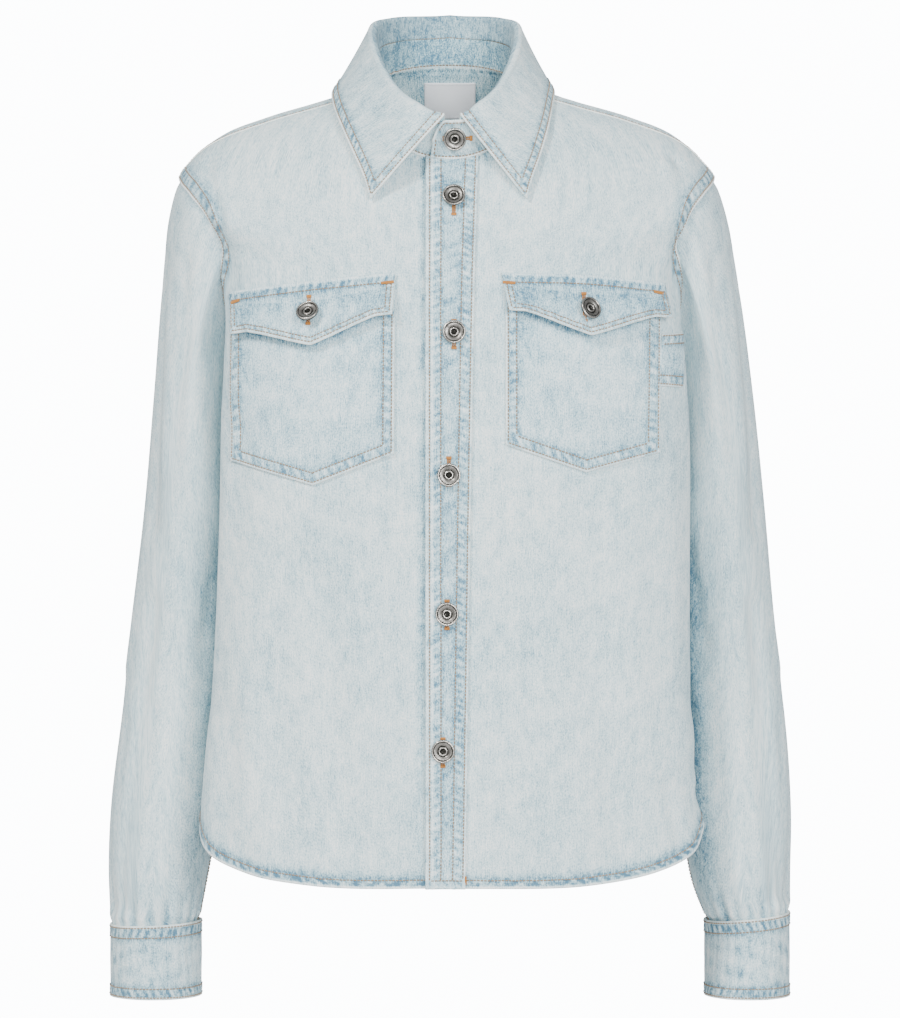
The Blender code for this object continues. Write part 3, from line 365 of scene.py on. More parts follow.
class Table:
    """Rows of named columns, read on smooth curves at any key between the rows."""

    def __init__(self, columns, rows):
        data = np.array(rows, dtype=float)
        self.keys = data[:, 0]
        self.values = {name: data[:, place] for place, name in enumerate(columns)}
        self.slopes = {name: np.gradient(line, self.keys) for name, line in self.values.items()}

    def read(self, name, key):
        key = np.clip(key, self.keys[0], self.keys[-1])
        low = np.clip(np.searchsorted(self.keys, key, side="right") - 1, 0, len(self.keys) - 2)
        span = self.keys[low + 1] - self.keys[low]
        t = (key - self.keys[low]) / span
        start, end = self.values[name][low], self.values[name][low + 1]
        leave, arrive = self.slopes[name][low] * span, self.slopes[name][low + 1] * span
        return ((2 * t**3 - 3 * t**2 + 1) * start + (t**3 - 2 * t**2 + t) * leave
                + (3 * t**2 - 2 * t**3) * end + (t**3 - t**2) * arrive)


BODY = Table(BODY_COLUMNS, BODY_ROWS)
ARMHOLE = Table(ARMHOLE_COLUMNS, ARMHOLE_ROWS)
HEM = Table(HEM_COLUMNS, HEM_ROWS)
SLEEVE = Table(SLEEVE_COLUMNS, SLEEVE_ROWS)
STAND_TOP = Table(STAND_COLUMNS, STAND_TOP_ROWS)
LEAF = Table(LEAF_COLUMNS, LEAF_ROWS)


def ease(value, start, end):
    """Go from 0 at start to 1 at end, smoothly."""
    t = np.clip((value - start) / (end - start), 0.0, 1.0)
    return t * t * (3.0 - 2.0 * t)


def bump(distance, reach):
    """1 at no distance, falling off softly past the reach."""
    return np.exp(-(distance / reach) ** 2)


def swell(distance, reach):
    """A soft bump: 1 at no distance, 0 from reach on."""
    return np.cos(np.clip(np.abs(distance) / reach, 0.0, 1.0) * HALF_TURN / 2.0) ** 2


def lengths(vectors):
    return np.linalg.norm(vectors, axis=-1)


def unit(vectors):
    return vectors / lengths(vectors)[..., None]


def grid_of(down, right):
    """Two grids, of the values that go down the rows and of those that go along them."""
    return np.meshgrid(down, right, indexing="ij")


def fold_angle(angle):
    """Split an angle from centre front into its side (+1 is +X) and its size, up to half a turn."""
    turn = (np.asarray(angle, dtype=float) + HALF_TURN) % FULL_TURN - HALF_TURN
    return np.where(turn < 0.0, -1.0, 1.0), np.abs(turn)


PINCH_SAMPLES = np.linspace(0.0, 0.4, 41)
ANGLE_SAMPLES = np.linspace(0.0, HALF_TURN, 721)
ANGLE_ROUNDS = 6            # how often a search comes closer: for an angle,
STATION_ROUNDS = 24         # for a station,
LIFT_ROUNDS = 3             # and for a place off the cloth


def widest_share(pinch):
    """The widest place of a ring with this pinch, as a share of its plain half width."""
    shape = np.sin(ANGLE_SAMPLES) ** (2.0 / BODY_SQUARENESS)
    groove = swell(ANGLE_SAMPLES - SIDE_ANGLE, PINCH_REACH)
    peaks = [np.max(shape * (1.0 - share * groove)) for share in PINCH_SAMPLES]
    return np.interp(pinch, PINCH_SAMPLES, peaks)


def ring_half_width(side, station):
    """Plain half width of the ring at a station, before the groove is taken off."""
    width = np.where(side < 0.0, BODY.read("right_width", station), BODY.read("left_width", station))
    return width / widest_share(BODY.read("pinch", station))


def body_form(angle, station):
    """Smooth form of the body, without folds."""
    side, turn = fold_angle(angle)
    groove = BODY.read("pinch", station) * swell(turn - SIDE_ANGLE, PINCH_REACH)
    across = np.clip(np.sin(turn), 0.0, 1.0) ** (2.0 / BODY_SQUARENESS) * (1.0 - groove)
    forward = np.cos(turn)
    depth = np.where(forward > 0.0, -BODY.read("front_depth", station), BODY.read("back_depth", station))
    side_z = BODY.read("side_z", station)
    end_z = np.where(forward > 0.0, BODY.read("front_z", station), BODY.read("back_z", station))
    x = side * ring_half_width(side, station) * across
    y = depth * np.abs(forward) ** (2.0 / BODY_SQUARENESS)
    z = side_z + (end_z - side_z) * np.abs(forward) ** DROP_POWER
    return np.stack(np.broadcast_arrays(x, y, z), axis=-1)


def crease_lines(rows, place):
    """Creases in space: where each starts, which way it runs, its reach and its rise."""
    lines = []
    for from_a, from_b, to_a, to_b, reach, rise in np.array(rows, dtype=float):
        start = place(np.array(from_a), np.array(from_b))
        lines.append((start, place(np.array(to_a), np.array(to_b)) - start, reach, rise))
    return lines


def with_folds(points, outward, lines):
    """Move points along their outward directions by these creases."""
    moved = points.copy()
    for start, along, reach, rise in lines:
        share = np.clip(((points - start) @ along) / (along @ along), 0.0, 1.0)
        distance = lengths(points - (start + share[..., None] * along))
        moved += outward * (rise * bump(distance, reach))[..., None]
    return moved


BODY_LINES = crease_lines(BODY_FOLDS, body_form)


def body(angle, station):
    """Outer face of the body's cloth, with the folds that the solids have."""
    points = body_form(angle, station)
    depth = np.where(points[..., 1] < 0.0, BODY.read("front_depth", station),
                     BODY.read("back_depth", station))
    width = BODY.read("left_width", station)
    outward = np.stack((points[..., 0] / width**2, points[..., 1] / depth**2,
                        np.zeros_like(depth)), axis=-1)
    return with_folds(points, unit(outward), BODY_LINES)


def angle_at(x, station):
    """Angle at which the front half of a ring reaches x."""
    side = np.where(np.asarray(x) < 0.0, -1.0, 1.0)
    share = np.abs(x) / ring_half_width(side, station)
    turn = np.zeros_like(share)
    for _ in range(ANGLE_ROUNDS):
        groove = BODY.read("pinch", station) * swell(turn - SIDE_ANGLE, PINCH_REACH)
        turn = np.arcsin(np.clip(share / (1.0 - groove), 0.0, 1.0) ** (BODY_SQUARENESS / 2.0))
    return side * turn


def station_at(z, lowest, highest, place):
    """Stations between these two at which the places of a form come down to z."""
    low, high = np.full(z.shape, lowest), np.full(z.shape, highest)
    for _ in range(STATION_ROUNDS):
        middle = (low + high) / 2.0
        above = place(middle)[..., 2] > z
        low, high = np.where(above, middle, low), np.where(above, high, middle)
    return low


def front_place(x, z):
    """Angle and station of the place on the front that has this x and z."""
    x, z = np.broadcast_arrays(np.asarray(x, dtype=float), np.asarray(z, dtype=float))
    station = station_at(z, BODY.keys[0], BODY.keys[-1],
                         lambda tried: body_form(angle_at(x, tried), tried))
    return angle_at(x, station), station


def lifted(points, lift):
    """Move a grid of points off along its normals."""
    return points + grid_normals(points) * np.asarray(lift)[..., None]


def grid_normals(points):
    """Unit normals of a grid of points, rows going down and columns anticlockwise from above."""
    normals = np.cross(np.gradient(points, axis=0), np.gradient(points, axis=1))
    return normals / np.maximum(lengths(normals), 1e-9)[..., None]


FRONT_LINES = crease_lines(FRONT_CREASES, lambda x, z: body(*front_place(x, z)))
BACK_LINES = crease_lines(BACK_CREASES, body)


def creased_front(points):
    """The front's cloth with its own creases."""
    return with_folds(points, grid_normals(points), FRONT_LINES)


def on_front(x, z, lift):
    """Points that lie this far off the front's cloth and show at this x and z."""
    shift = np.zeros((*np.shape(x), 3))
    for _ in range(LIFT_ROUNDS):
        angles, stations = front_place(x - shift[..., 0], z - shift[..., 2])
        points = creased_front(body(angles, stations))
        shift = grid_normals(points) * np.asarray(lift)[..., None]
    return points + shift


def armhole_station(swing):
    """Station of the armhole; its front half runs to half a turn, its back half from there on."""
    swing = np.asarray(swing) % FULL_TURN
    behind = SHOULDER_STATION + (UNDERARM_STATION - SHOULDER_STATION) * (1.0 - np.cos(swing)) / 2.0
    return np.where(swing > HALF_TURN, behind, ARMHOLE.read("station", swing / HALF_TURN))


def ridge_angle(station, under=0.0):
    """Angle of the yoke's front seam, before the ridge of the shoulder, or of a line behind it."""
    depth = BODY.read("front_depth", station)
    forward = YOKE_FORWARD + (SHOULDER_FORWARD - YOKE_FORWARD) * ease(station, *FORWARD_EASE)
    return HALF_TURN / 2.0 - np.arcsin(((forward - under) / depth) ** (BODY_SQUARENESS / 2.0))


def armhole_angle(swing):
    """Angle of the armhole; swing 0 is the shoulder and a half turn the underarm."""
    swing = np.asarray(swing) % FULL_TURN
    top = ridge_angle(SHOULDER_STATION)
    middle = top + (SIDE_ANGLE - top) * (1.0 - np.cos(swing)) / 2.0
    behind = middle - ARMHOLE_BACK * (np.sin(swing) + ARMHOLE_SKEW * np.sin(2.0 * swing))
    return np.where(swing > HALF_TURN, behind, ARMHOLE.read("angle", swing / HALF_TURN))


def spread(starts, ends, shares):
    return starts[:, None] + (ends - starts)[:, None] * shares[None, :]


def shares_of(length, step, at_start=False, at_end=False):
    """Shares of a line at about this spacing, closer together near the ends that are sewn."""
    place = np.linspace(0.0, length, 1000)
    spacing = np.full(place.shape, step)
    for sewn, run in ((at_start, place), (at_end, length - place)):
        if sewn:
            near = FINE_STEP + (step - FINE_STEP) * ease(run, SEAM_REACH, SEAM_REACH * 2.2)
            spacing = np.minimum(spacing, near)
    count = np.cumsum(1.0 / spacing)
    count = (count - count[0]) / (count[-1] - count[0])
    steps = int(np.ceil(np.sum(1.0 / spacing) * length / len(place)))
    return np.interp(np.linspace(0.0, 1.0, steps + 1), count, place) / length


def sewn_shares(length, step):
    """Shares of a line that is sewn at both its ends."""
    return shares_of(length, step, True, True)


def fanned(top, edge_stations, nearness):
    """Stations of rows that are even away from the armhole and meet its steps at the edge."""
    even = np.linspace(top, edge_stations[-1], len(edge_stations) + 1)[1:]
    return even[:, None] + (edge_stations - even)[:, None] * nearness[None, :] ** 3


def fanned_from_neck(edge_stations, nearness):
    """Stations of rows that meet the shoulder, then the armhole, from above."""
    middle = NECK_ROWS * (TIP_STATION / SHOULDER_STATION)
    upper = middle[:, None] + (NECK_ROWS - middle)[:, None] * nearness[None, :] ** 3
    return np.concatenate((upper, fanned(TIP_STATION, edge_stations, nearness)))


# The waves in a run of puckers: height, length and share of the drift that they take up
WAVES = ((0.62, 5.9, 1.0), (0.24, 9.1, -1.0), (0.20, 17.0, 0.0))
DRIFT = 1.5
DRIFT_LENGTH = 11.0


def ripple(along, seed):
    """An uneven run of small rises and dips, between -1 and 1."""
    phases = np.random.default_rng(seed).uniform(0.0, FULL_TURN, 4)
    drift = DRIFT * np.sin(along / DRIFT_LENGTH + phases[0])
    return sum(height * np.sin(along * FULL_TURN / length + share * drift + phase)
               for (height, length, share), phase in zip(WAVES, phases[1:]))


# ---------------------------------------------------------------- cloth as a grid of points

# A seam lies along an edge: its rows of stitches, the width of its turnings, the lines that it
# runs over, the side that is stitched, how blue it is, how far it puckers, its pale ridges, and
# how far its puckers slant and are drawn out
Seam = namedtuple("Seam", "edge rows width begin end inside tone pucker ridges slant pitch",
                  defaults=(0, None, False, 0.6, 1.0, (0.7,), 0.45, 1.0))
Thread = namedtuple("Thread", "points normals")

# How a grid is turned so that an edge becomes its first column, and how it is turned back
EDGE_VIEWS = {
    "first": (lambda grid: grid, lambda grid: grid),
    "last": (lambda grid: grid[:, ::-1], lambda grid: grid[:, ::-1]),
    "top": (lambda grid: grid.swapaxes(0, 1), lambda grid: grid.swapaxes(0, 1)),
    "foot": (lambda grid: grid[::-1].swapaxes(0, 1), lambda grid: grid.swapaxes(0, 1)[::-1]),
}
INWARD_POINTS = 3           # the way in from an edge is read over this many points
TINY = 1e-9
INSET_STEP = 0.8            # a line inside an edge is reached in steps about this long,
INSET_MOST = 3.0            # each of them at most this many points of the grid

TURNING_BLUR = 1.2          # the turnings' thickness ends over this far to each side
PUCKER_START = 0.8          # where the puckers begin, if a seam has no two rows of stitches
PUCKER_MARGIN = 0.5         # how far they reach past both their ends
PUCKER_SWING = 0.3          # the share of their strength that comes and goes
PACE_SEED = 7
PUCKER_PACE = 0.31          # how fast their strength comes and goes along the seam
ROW_DIP, ROW_REACH = 0.32, 0.9
RIDGE_RISE, RIDGE_REACH = 0.28, 1.1
SPOT_LEVEL, SPOT_SWING = 0.55, 1.25
FLAT_BLUE = 0.15
HALO_BLUE, HALO_REACH, HALO_RUN = 0.5, 4.5, (1.0, 2.6)
CREST_WEAR, CREST_CONTRAST, CREST_LEVEL = 0.9, 1.3, 0.1
# Painted shade along the groove of each row of stitches: how blue it makes the cloth, how far inside the
# row it lies and its reach
ROW_PAINTED_SHADE, ROW_PAINTED_SHADE_PLACE, ROW_PAINTED_SHADE_REACH = 0.35, 0.9, 0.8
RIDGE_PALE = 0.8
PRESS_REACH = 6.0           # how far from an edge the cloth is pressed in
ROW_MARGIN = 0.05           # rows of stitches end this much before those of the next edge


def both(*sizes, **looks):
    """The same seam on the first and on the last edge."""
    return [Seam(edge, *sizes, **looks) for edge in ("first", "last")]


def nearest_on(line, grid):
    """Distance of every point to a line of points, and how far along the line its nearest place is."""
    points = grid.reshape(-1, 3)
    squares = (points**2).sum(axis=1)[:, None] + (line**2).sum(axis=1)[None, :] - 2.0 * points @ line.T
    near = np.argmin(squares, axis=1)
    run = np.pad(np.cumsum(lengths(np.diff(line, axis=0))), (1, 0))
    distance, along = np.full(len(points), np.inf), np.zeros(len(points))
    for low in (np.maximum(near - 1, 0), np.minimum(near, len(line) - 2)):
        start, step = line[low], line[low + 1] - line[low]
        size = lengths(step)
        share = np.clip(np.sum((points - start) * step, axis=1) / size**2, 0.0, 1.0)
        gap = lengths(points - start - step * share[:, None])
        along = np.where(gap < distance, run[low] + size * share, along)
        distance = np.minimum(gap, distance)
    return distance, along


class Cloth:
    """A cut piece that dresses one solid: a grid of its outer face, its seams and stitch lines."""

    def __init__(self, node, points, mirror=False, grain=0, curved=False):
        self.node = node
        self.points = points
        self.mirror = mirror
        self.curved = curved
        across = np.cumsum(lengths(np.diff(points, axis=1)), axis=1)
        level = unit(np.gradient(points, axis=1))
        down = np.cumsum(lengths(np.cross(np.diff(points, axis=0), level[1:])), axis=0)
        across = np.pad(across, ((0, 0), (1, 0)))
        self.across = across - across[:, [grain]]
        self.down = np.pad(down, ((1, 0), (0, 0)))
        # blue: less faded dye and also painted shade in gaps, grooves and inside the neck; wear: worn,
        # paler places
        self.blue = np.zeros(points.shape[:2])
        self.wear = np.zeros(points.shape[:2])
        self.lines = []

    def normals(self):
        return grid_normals(self.points) * (-1.0 if self.mirror else 1.0)

    def from_edge(self, edge, begin=0, end=None):
        """Distance to an edge or a part of it, and length along it, at every point."""
        view, back = EDGE_VIEWS[edge]
        grid = view(self.points)
        if self.curved:
            found = nearest_on(grid[begin:end, 0], grid)
            return [back(values.reshape(grid.shape[:2])) for values in found]
        run = np.pad(np.cumsum(lengths(np.diff(grid, axis=1)), axis=1), ((0, 0), (1, 0)))
        line = grid[:, 0]
        along = np.pad(np.cumsum(lengths(np.diff(line, axis=0))), (1, 0))
        ahead, inwards = np.gradient(line, axis=0), grid[:, INWARD_POINTS] - line
        slant = lengths(np.cross(ahead, inwards)) / np.maximum(lengths(ahead) * lengths(inwards), TINY)
        return back(run * slant[:, None]), back(np.repeat(along[:, None], run.shape[1], axis=1))

    def press(self, edge, begin=0, end=None, depth=0.55):
        """Press an edge in, so that it goes under the piece that is sewn over it."""
        distance, _ = self.from_edge(edge)
        view, _ = EDGE_VIEWS[edge]
        part = np.zeros(distance.shape)
        view(part)[begin:end] = 1.0
        amount = depth * part * (1.0 - ease(distance, 0.0, PRESS_REACH))
        self.points = self.points - self.normals() * amount[..., None]

    def inset(self, seam, distance):
        """Grid rows and columns of a line at a distance inside a seam's edge, reached in steps."""
        view, _ = EDGE_VIEWS[seam.edge]
        grid = view(self.points)
        lines = np.arange(grid.shape[0])[seam.begin:seam.end]
        line = grid[:, 0][lines]
        ahead = np.gradient(line, axis=0)
        inwards = np.cross(np.cross(ahead, grid[:, INWARD_POINTS][lines] - line), ahead)
        out = view(self.normals())[:, 0][lines]
        inwards = inwards - out * (inwards * out).sum(axis=1)[:, None]
        count = math.ceil(distance / INSET_STEP)
        move = unit(inwards) * (distance / count)
        last_row, last_column = self.points.shape[0] - 1.0, self.points.shape[1] - 1.0
        fixed = {"first": 0.0, "last": last_column, "top": 0.0, "foot": last_row}[seam.edge]
        rows, columns = lines.astype(float), np.full(len(lines), fixed)
        if seam.edge in ("top", "foot"):
            rows, columns = columns, rows
        down, right = np.gradient(self.points, axis=0), np.gradient(self.points, axis=1)
        for _ in range(count):
            one, two = self.at(down, rows, columns), self.at(right, rows, columns)
            pairs = ((one, one), (two, two), (one, two), (one, move), (two, move))
            one_one, two_two, one_two, on_one, on_two = ((a * b).sum(axis=1) for a, b in pairs)
            whole = np.maximum(one_one * two_two - one_two**2, TINY)
            rows_on = (on_one * two_two - on_two * one_two) / whole
            columns_on = (on_two * one_one - on_one * one_two) / whole
            rows = rows + np.clip(rows_on, -INSET_MOST, INSET_MOST)
            columns = columns + np.clip(columns_on, -INSET_MOST, INSET_MOST)
        inside = (rows >= 0.0) & (rows <= last_row) & (columns >= 0.0) & (columns <= last_column)
        return rows, columns, inside

    def at(self, grid, rows, columns):
        """Read a grid between its points."""
        row = np.clip(np.floor(rows).astype(int), 0, grid.shape[0] - 2)
        column = np.clip(np.floor(columns).astype(int), 0, grid.shape[1] - 2)
        down, right = rows - row, columns - column
        if grid.ndim == 3:
            down, right = down[:, None], right[:, None]
        upper = grid[row, column] * (1 - right) + grid[row, column + 1] * right
        lower = grid[row + 1, column] * (1 - right) + grid[row + 1, column + 1] * right
        return upper * (1 - down) + lower * down

    def sew(self, seams, turning=0.45, pucker=0.42):
        """Raise each seam's turnings, pucker them, and note its lines of stitches."""
        gaps = [self.from_edge(seam.edge, seam.begin, seam.end) for seam in seams]
        height = np.zeros(self.points.shape[:2])
        for seed, (seam, (distance, along)) in enumerate(zip(seams, gaps), start=SEEDS[self.node]):
            flat = 1.0 - ease(distance, seam.width - TURNING_BLUR, seam.width + TURNING_BLUR)
            start = seam.rows[0] if len(seam.rows) > 1 else PUCKER_START
            half = (seam.width - start) / 2.0
            lens = np.clip(1.0 - ((distance - start - half) / (half + PUCKER_MARGIN)) ** 2, 0.0, 1.0)
            waves = ripple((along + seam.slant * distance) / seam.pitch, seed)
            strength = 1.0 - PUCKER_SWING + PUCKER_SWING * ripple(along * PUCKER_PACE, seed + PACE_SEED)
            groove = sum(bump(distance - row, ROW_REACH) for row in seam.rows)
            ridge = sum(bump(distance - place, RIDGE_REACH) for place in seam.ridges)
            height += (turning * flat + seam.pucker * pucker * waves * strength * lens
                       - ROW_DIP * groove + RIDGE_RISE * ridge)
            spots = lens * np.clip(SPOT_LEVEL - SPOT_SWING * waves * strength, 0.0, SPOT_SWING)
            beside = bump(np.maximum(distance - seam.width, 0.0), HALO_REACH)
            halo = HALO_BLUE * beside * ease(distance, *HALO_RUN)
            # Painted shade: a blue line just inside each row of stitches, along its groove
            shade = sum(bump(distance - row - ROW_PAINTED_SHADE_PLACE, ROW_PAINTED_SHADE_REACH) for row in seam.rows)
            blue = (seam.tone * np.maximum(FLAT_BLUE * flat + spots, halo) + ROW_PAINTED_SHADE * shade
                    - RIDGE_PALE * ridge)
            self.blue = np.maximum(self.blue, blue)
            crest = np.clip(CREST_CONTRAST * waves - CREST_LEVEL, 0.0, 1.0)
            self.wear = np.maximum(self.wear, ridge + CREST_WEAR * lens * crest)
        self.points = self.points + self.normals() * height[..., None]
        for seam in seams:
            for place, distance in enumerate(seam.rows):
                rows, columns, keep = self.inset(seam, distance)
                for neighbour, (gap, _) in zip(seams, gaps):
                    if neighbour.edge != seam.edge and neighbour.rows:
                        least = neighbour.rows[min(place, len(neighbour.rows) - 1)] - ROW_MARGIN
                        keep &= self.at(gap, rows, columns) > least
                self.lines.append((rows[keep], columns[keep], seam.inside))

    def threads(self, wall=0.0):
        """The stitch lines in space, on the outer face or, where the seam says so, the inner one."""
        normals = self.normals()
        made = []
        for rows, columns, inside in self.lines:
            if len(rows) > 3:
                points, out = self.at(self.points, rows, columns), self.at(normals, rows, columns)
                made.append(Thread(points - out * wall, -out) if inside else Thread(points, out))
        return made


def number_line(mesh, name, values):
    layer = mesh.attributes.new(name, "FLOAT", "POINT")
    layer.data.foreach_set("value", values.astype(np.float32).ravel())


def add_object(name, data):
    item = bpy.data.objects.new(name, data)
    bpy.context.scene.collection.objects.link(item)
    return item


def build_cloth(cloth, wall, slot):
    """Make a shell of cloth: outer face, inner face and worn edge each have their material."""
    rows, columns = cloth.points.shape[:2]
    index = np.arange(rows * columns).reshape(rows, columns)
    corners = np.stack((index[:-1, :-1], index[1:, :-1], index[1:, 1:], index[:-1, 1:]), axis=-1)
    if cloth.mirror:
        corners = corners[..., ::-1]
    faces = corners.reshape(-1, 4)
    mesh = bpy.data.meshes.new(f"{cloth.node}_cloth")
    mesh.from_pydata((cloth.points.reshape(-1, 3) * MM).tolist(), [], faces.tolist())
    flat = np.stack((cloth.across, -cloth.down), axis=-1).reshape(-1, 2) * MM
    layer = mesh.uv_layers.new(name="cut")
    layer.data.foreach_set("uv", flat[faces.ravel()].astype(np.float32).ravel())
    number_line(mesh, "blue", cloth.blue)
    number_line(mesh, "wear", cloth.wear)
    mesh.shade_smooth()
    for material in finishes().cloths[slot]:
        mesh.materials.append(material)
    piece = add_object(mesh.name, mesh)
    shell = piece.modifiers.new("cloth", "SOLIDIFY")
    shell.thickness = wall * MM
    shell.offset = -1.0
    shell.use_rim = True
    shell.material_offset = 1
    shell.material_offset_rim = 2
    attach(piece, "root")
    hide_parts(cloth.node)
    area = lengths(np.cross(cloth.points[1:, :-1] - cloth.points[:-1, :-1],
                            cloth.points[:-1, 1:] - cloth.points[:-1, :-1])).sum() * MM**2
    width = np.ptp(cloth.across) * MM
    length = cloth.down.max() * MM
    min(area, width * length)


def build_mesh(name, points, faces, material):
    mesh = bpy.data.meshes.new(name)
    mesh.from_pydata((np.asarray(points) * MM).tolist(), [], [list(face) for face in faces])
    mesh.shade_smooth()
    mesh.materials.append(material)
    piece = add_object(name, mesh)
    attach(piece, "root")
    return piece


# ---------------------------------------------------------------- stitches, bars and tacks

CAPSULE_SIDES = 4
CAPSULE_SHARES = (0.14, 0.86)   # where along a capsule its two rings lie
CAPSULE_WIDTH = 0.95
CAPSULE_RISE = 0.42
CAPSULE_SINK = 0.25             # how deep both its ends lie in the cloth
STITCH_RADIUS = 0.55
BAR_RADIUS = 0.3
BAR_PITCH = 0.62
BAR_WIDTH = 2.6
TACK_PITCH = 0.5
TACK_LIFT = 0.3
HOLE_TACK = 4.0
LIP_WIDTH = 1.5
LIP_SPACING = 1.55


def add_capsules(name, starts, ends, normals, radius, material):
    """Short lengths of thread, each sunk into the cloth at both ends."""
    starts, ends, normals = (np.asarray(values, dtype=float) for values in (starts, ends, normals))
    along = ends - starts
    side = np.cross(along, normals)
    side /= np.maximum(lengths(side), TINY)[:, None]
    corners = [starts - normals * CAPSULE_SINK]
    for share in CAPSULE_SHARES:
        centre = starts + along * share + normals * (CAPSULE_RISE * radius)
        for turn in np.arange(CAPSULE_SIDES) * FULL_TURN / CAPSULE_SIDES:
            way = side * math.cos(turn) + normals * math.sin(turn)
            corners.append(centre + way * radius * CAPSULE_WIDTH)
    corners.append(ends - normals * CAPSULE_SINK)
    points = np.stack(corners, axis=1)
    count, size = points.shape[:2]
    last = size - 1
    faces = []
    for corner in range(CAPSULE_SIDES):
        after = (corner + 1) % CAPSULE_SIDES
        faces.append((0, 1 + after, 1 + corner))
        faces.append((last, last - CAPSULE_SIDES + corner, last - CAPSULE_SIDES + after))
        low, high = 1, 1 + CAPSULE_SIDES
        faces.append((low + corner, low + after, high + after, high + corner))
    every_face = [[corner + size * number for corner in face] for number in range(count) for face in faces]
    build_mesh(name, points.reshape(-1, 3), every_face, material)


def add_stitches(name, threads, material, radius):
    """Rows of topstitching along the threads' lines."""
    sizes = bpy.context.scene.shirt_cloth
    pitch, gap = sizes.stitch_pitch / MM, sizes.stitch_gap / MM
    starts, ends, normals = [], [], []
    for thread in threads:
        run = np.pad(np.cumsum(lengths(np.diff(thread.points, axis=0))), (1, 0))
        count = int(run[-1] / pitch)
        if count < 2:
            continue
        first = np.arange(count) * run[-1] / count + gap / 2.0
        for target, places, lines in ((starts, first, thread.points), (normals, first, thread.normals),
                                      (ends, first + pitch - gap, thread.points)):
            target.append(np.stack([np.interp(places, run, line) for line in lines.T], axis=1))
    add_capsules(name, *(np.concatenate(values) for values in (starts, ends, normals)), radius, material)


def dress(cloth, wall, slot="washed_denim", radius=STITCH_RADIUS, inside=0.0):
    """Build a piece of cloth and its rows of stitches."""
    build_cloth(cloth, wall, slot)
    add_stitches(f"{cloth.node}_stitches", cloth.threads(inside), finishes().threads[slot], radius)


def bars_of(point, normal, along, length, width, pitch=BAR_PITCH, rows=1, spacing=0.0):
    """Starts, ends and normals of close crosswise bars along a short line."""
    across = unit(np.cross(normal, along))
    along = np.cross(across, normal)
    count = int(length / pitch)
    steps = (np.arange(count) - (count - 1) / 2.0) * pitch
    starts, ends = [], []
    for row in range(rows):
        offset = (row - (rows - 1) / 2.0) * spacing
        centres = point + along * steps[:, None] + across * offset
        starts.append(centres - across * width / 2.0)
        ends.append(centres + across * width / 2.0)
    starts, ends = np.concatenate(starts), np.concatenate(ends)
    return starts, ends, np.repeat(normal[None, :], len(starts), axis=0)


def join_bars(parts):
    return [np.concatenate(values) for values in zip(*parts)]


# ---------------------------------------------------------------- fronts, back and yoke

# Rows and columns of the panels, each from the length that they cover and their spacing
NECK_ROWS = SHOULDER_STATION * shares_of(SHOULDER_STATION, 3.2, at_start=True)
ARM_SWINGS = HALF_TURN * shares_of(275.0, 2.3)[1:]
LOWER_SHARES = shares_of(345.0, 3.2, at_end=True)[1:]
FRONT_SHARES = shares_of(205.0, 2.6, at_end=True)
BACK_SHARES = sewn_shares(440.0, 3.0)
YOKE_SHARES = sewn_shares(430.0, 2.6)
YOKE_SWINGS = np.linspace(0.0, YOKE_BACK_SWING, 44)[1:]
BACK_SWINGS = np.linspace(YOKE_BACK_SWING, HALF_TURN, 50)
TIP_STATION = 105.0         # where the row that ends at the shoulder's tip starts in the middle
UNDER = 1.6                 # how far a panel goes in under the one that is stitched over it
UNDER_TURN = 0.015          # the same, in radians round the body
UNDER_SHARE = UNDER / (UNDERARM_STATION - SHOULDER_STATION)
# Seams: their rows of stitches and the width of their turnings
ARMHOLE_SEAM = ((1.9, 9.2), 11.0)
FRONT_ARMHOLE_SEAM = ((2.1, 10.6), 11.6)
SHOULDER_SEAM = ((1.7,), 6.5)
FELLED_SEAM = ((1.7, 7.6), 9.5)
STRIP_SEAM = ((1.5,), 3.0)
LEAF_SEAM = ((2.0, 7.4), 8.0)
LABEL_SEAM = ((1.2,), 1.6)
FLAP_SEAM = ((2.1, 5.6), 6.2)
TAB_SEAM = ((1.5, 8.0), 8.6)
HEM_ROW = (6.5,)
# A painted shadow beside the band: a blue line on the front that lies under it, along the band's edge
CLOSURE_PAINTED_SHADOW, CLOSURE_PAINTED_SHADOW_OUT, CLOSURE_PAINTED_SHADOW_REACH = 0.75, 1.6, 1.8


def hem_stations(turn):
    """Stations below the underarm, one row for each share of the way to the hem."""
    hem = HEM.read("station", turn)
    return UNDERARM_STATION + LOWER_SHARES[:, None] * (hem - UNDERARM_STATION)[None, :]


def front_rows(edge_x):
    """Angles and stations of the +X front, from its own edge to the shoulder, armhole and side."""
    under = UNDER * (1.0 - ease(NECK_ROWS, 140.0, SHOULDER_STATION))
    upper_ends = np.concatenate((ridge_angle(NECK_ROWS, under), armhole_angle(ARM_SWINGS)))
    upper = fanned_from_neck(armhole_station(ARM_SWINGS), FRONT_SHARES)
    lower_ends = SIDE_ANGLE + UNDER_TURN * ease(LOWER_SHARES, 0.0, 0.03)
    lower = hem_stations(SIDE_ANGLE * FRONT_SHARES)
    angles = [spread(angle_at(np.full(len(ends), edge_x), stations[:, 0]), ends, FRONT_SHARES)
              for stations, ends in ((upper, upper_ends), (lower, lower_ends))]
    return np.concatenate(angles), np.concatenate((upper, lower))


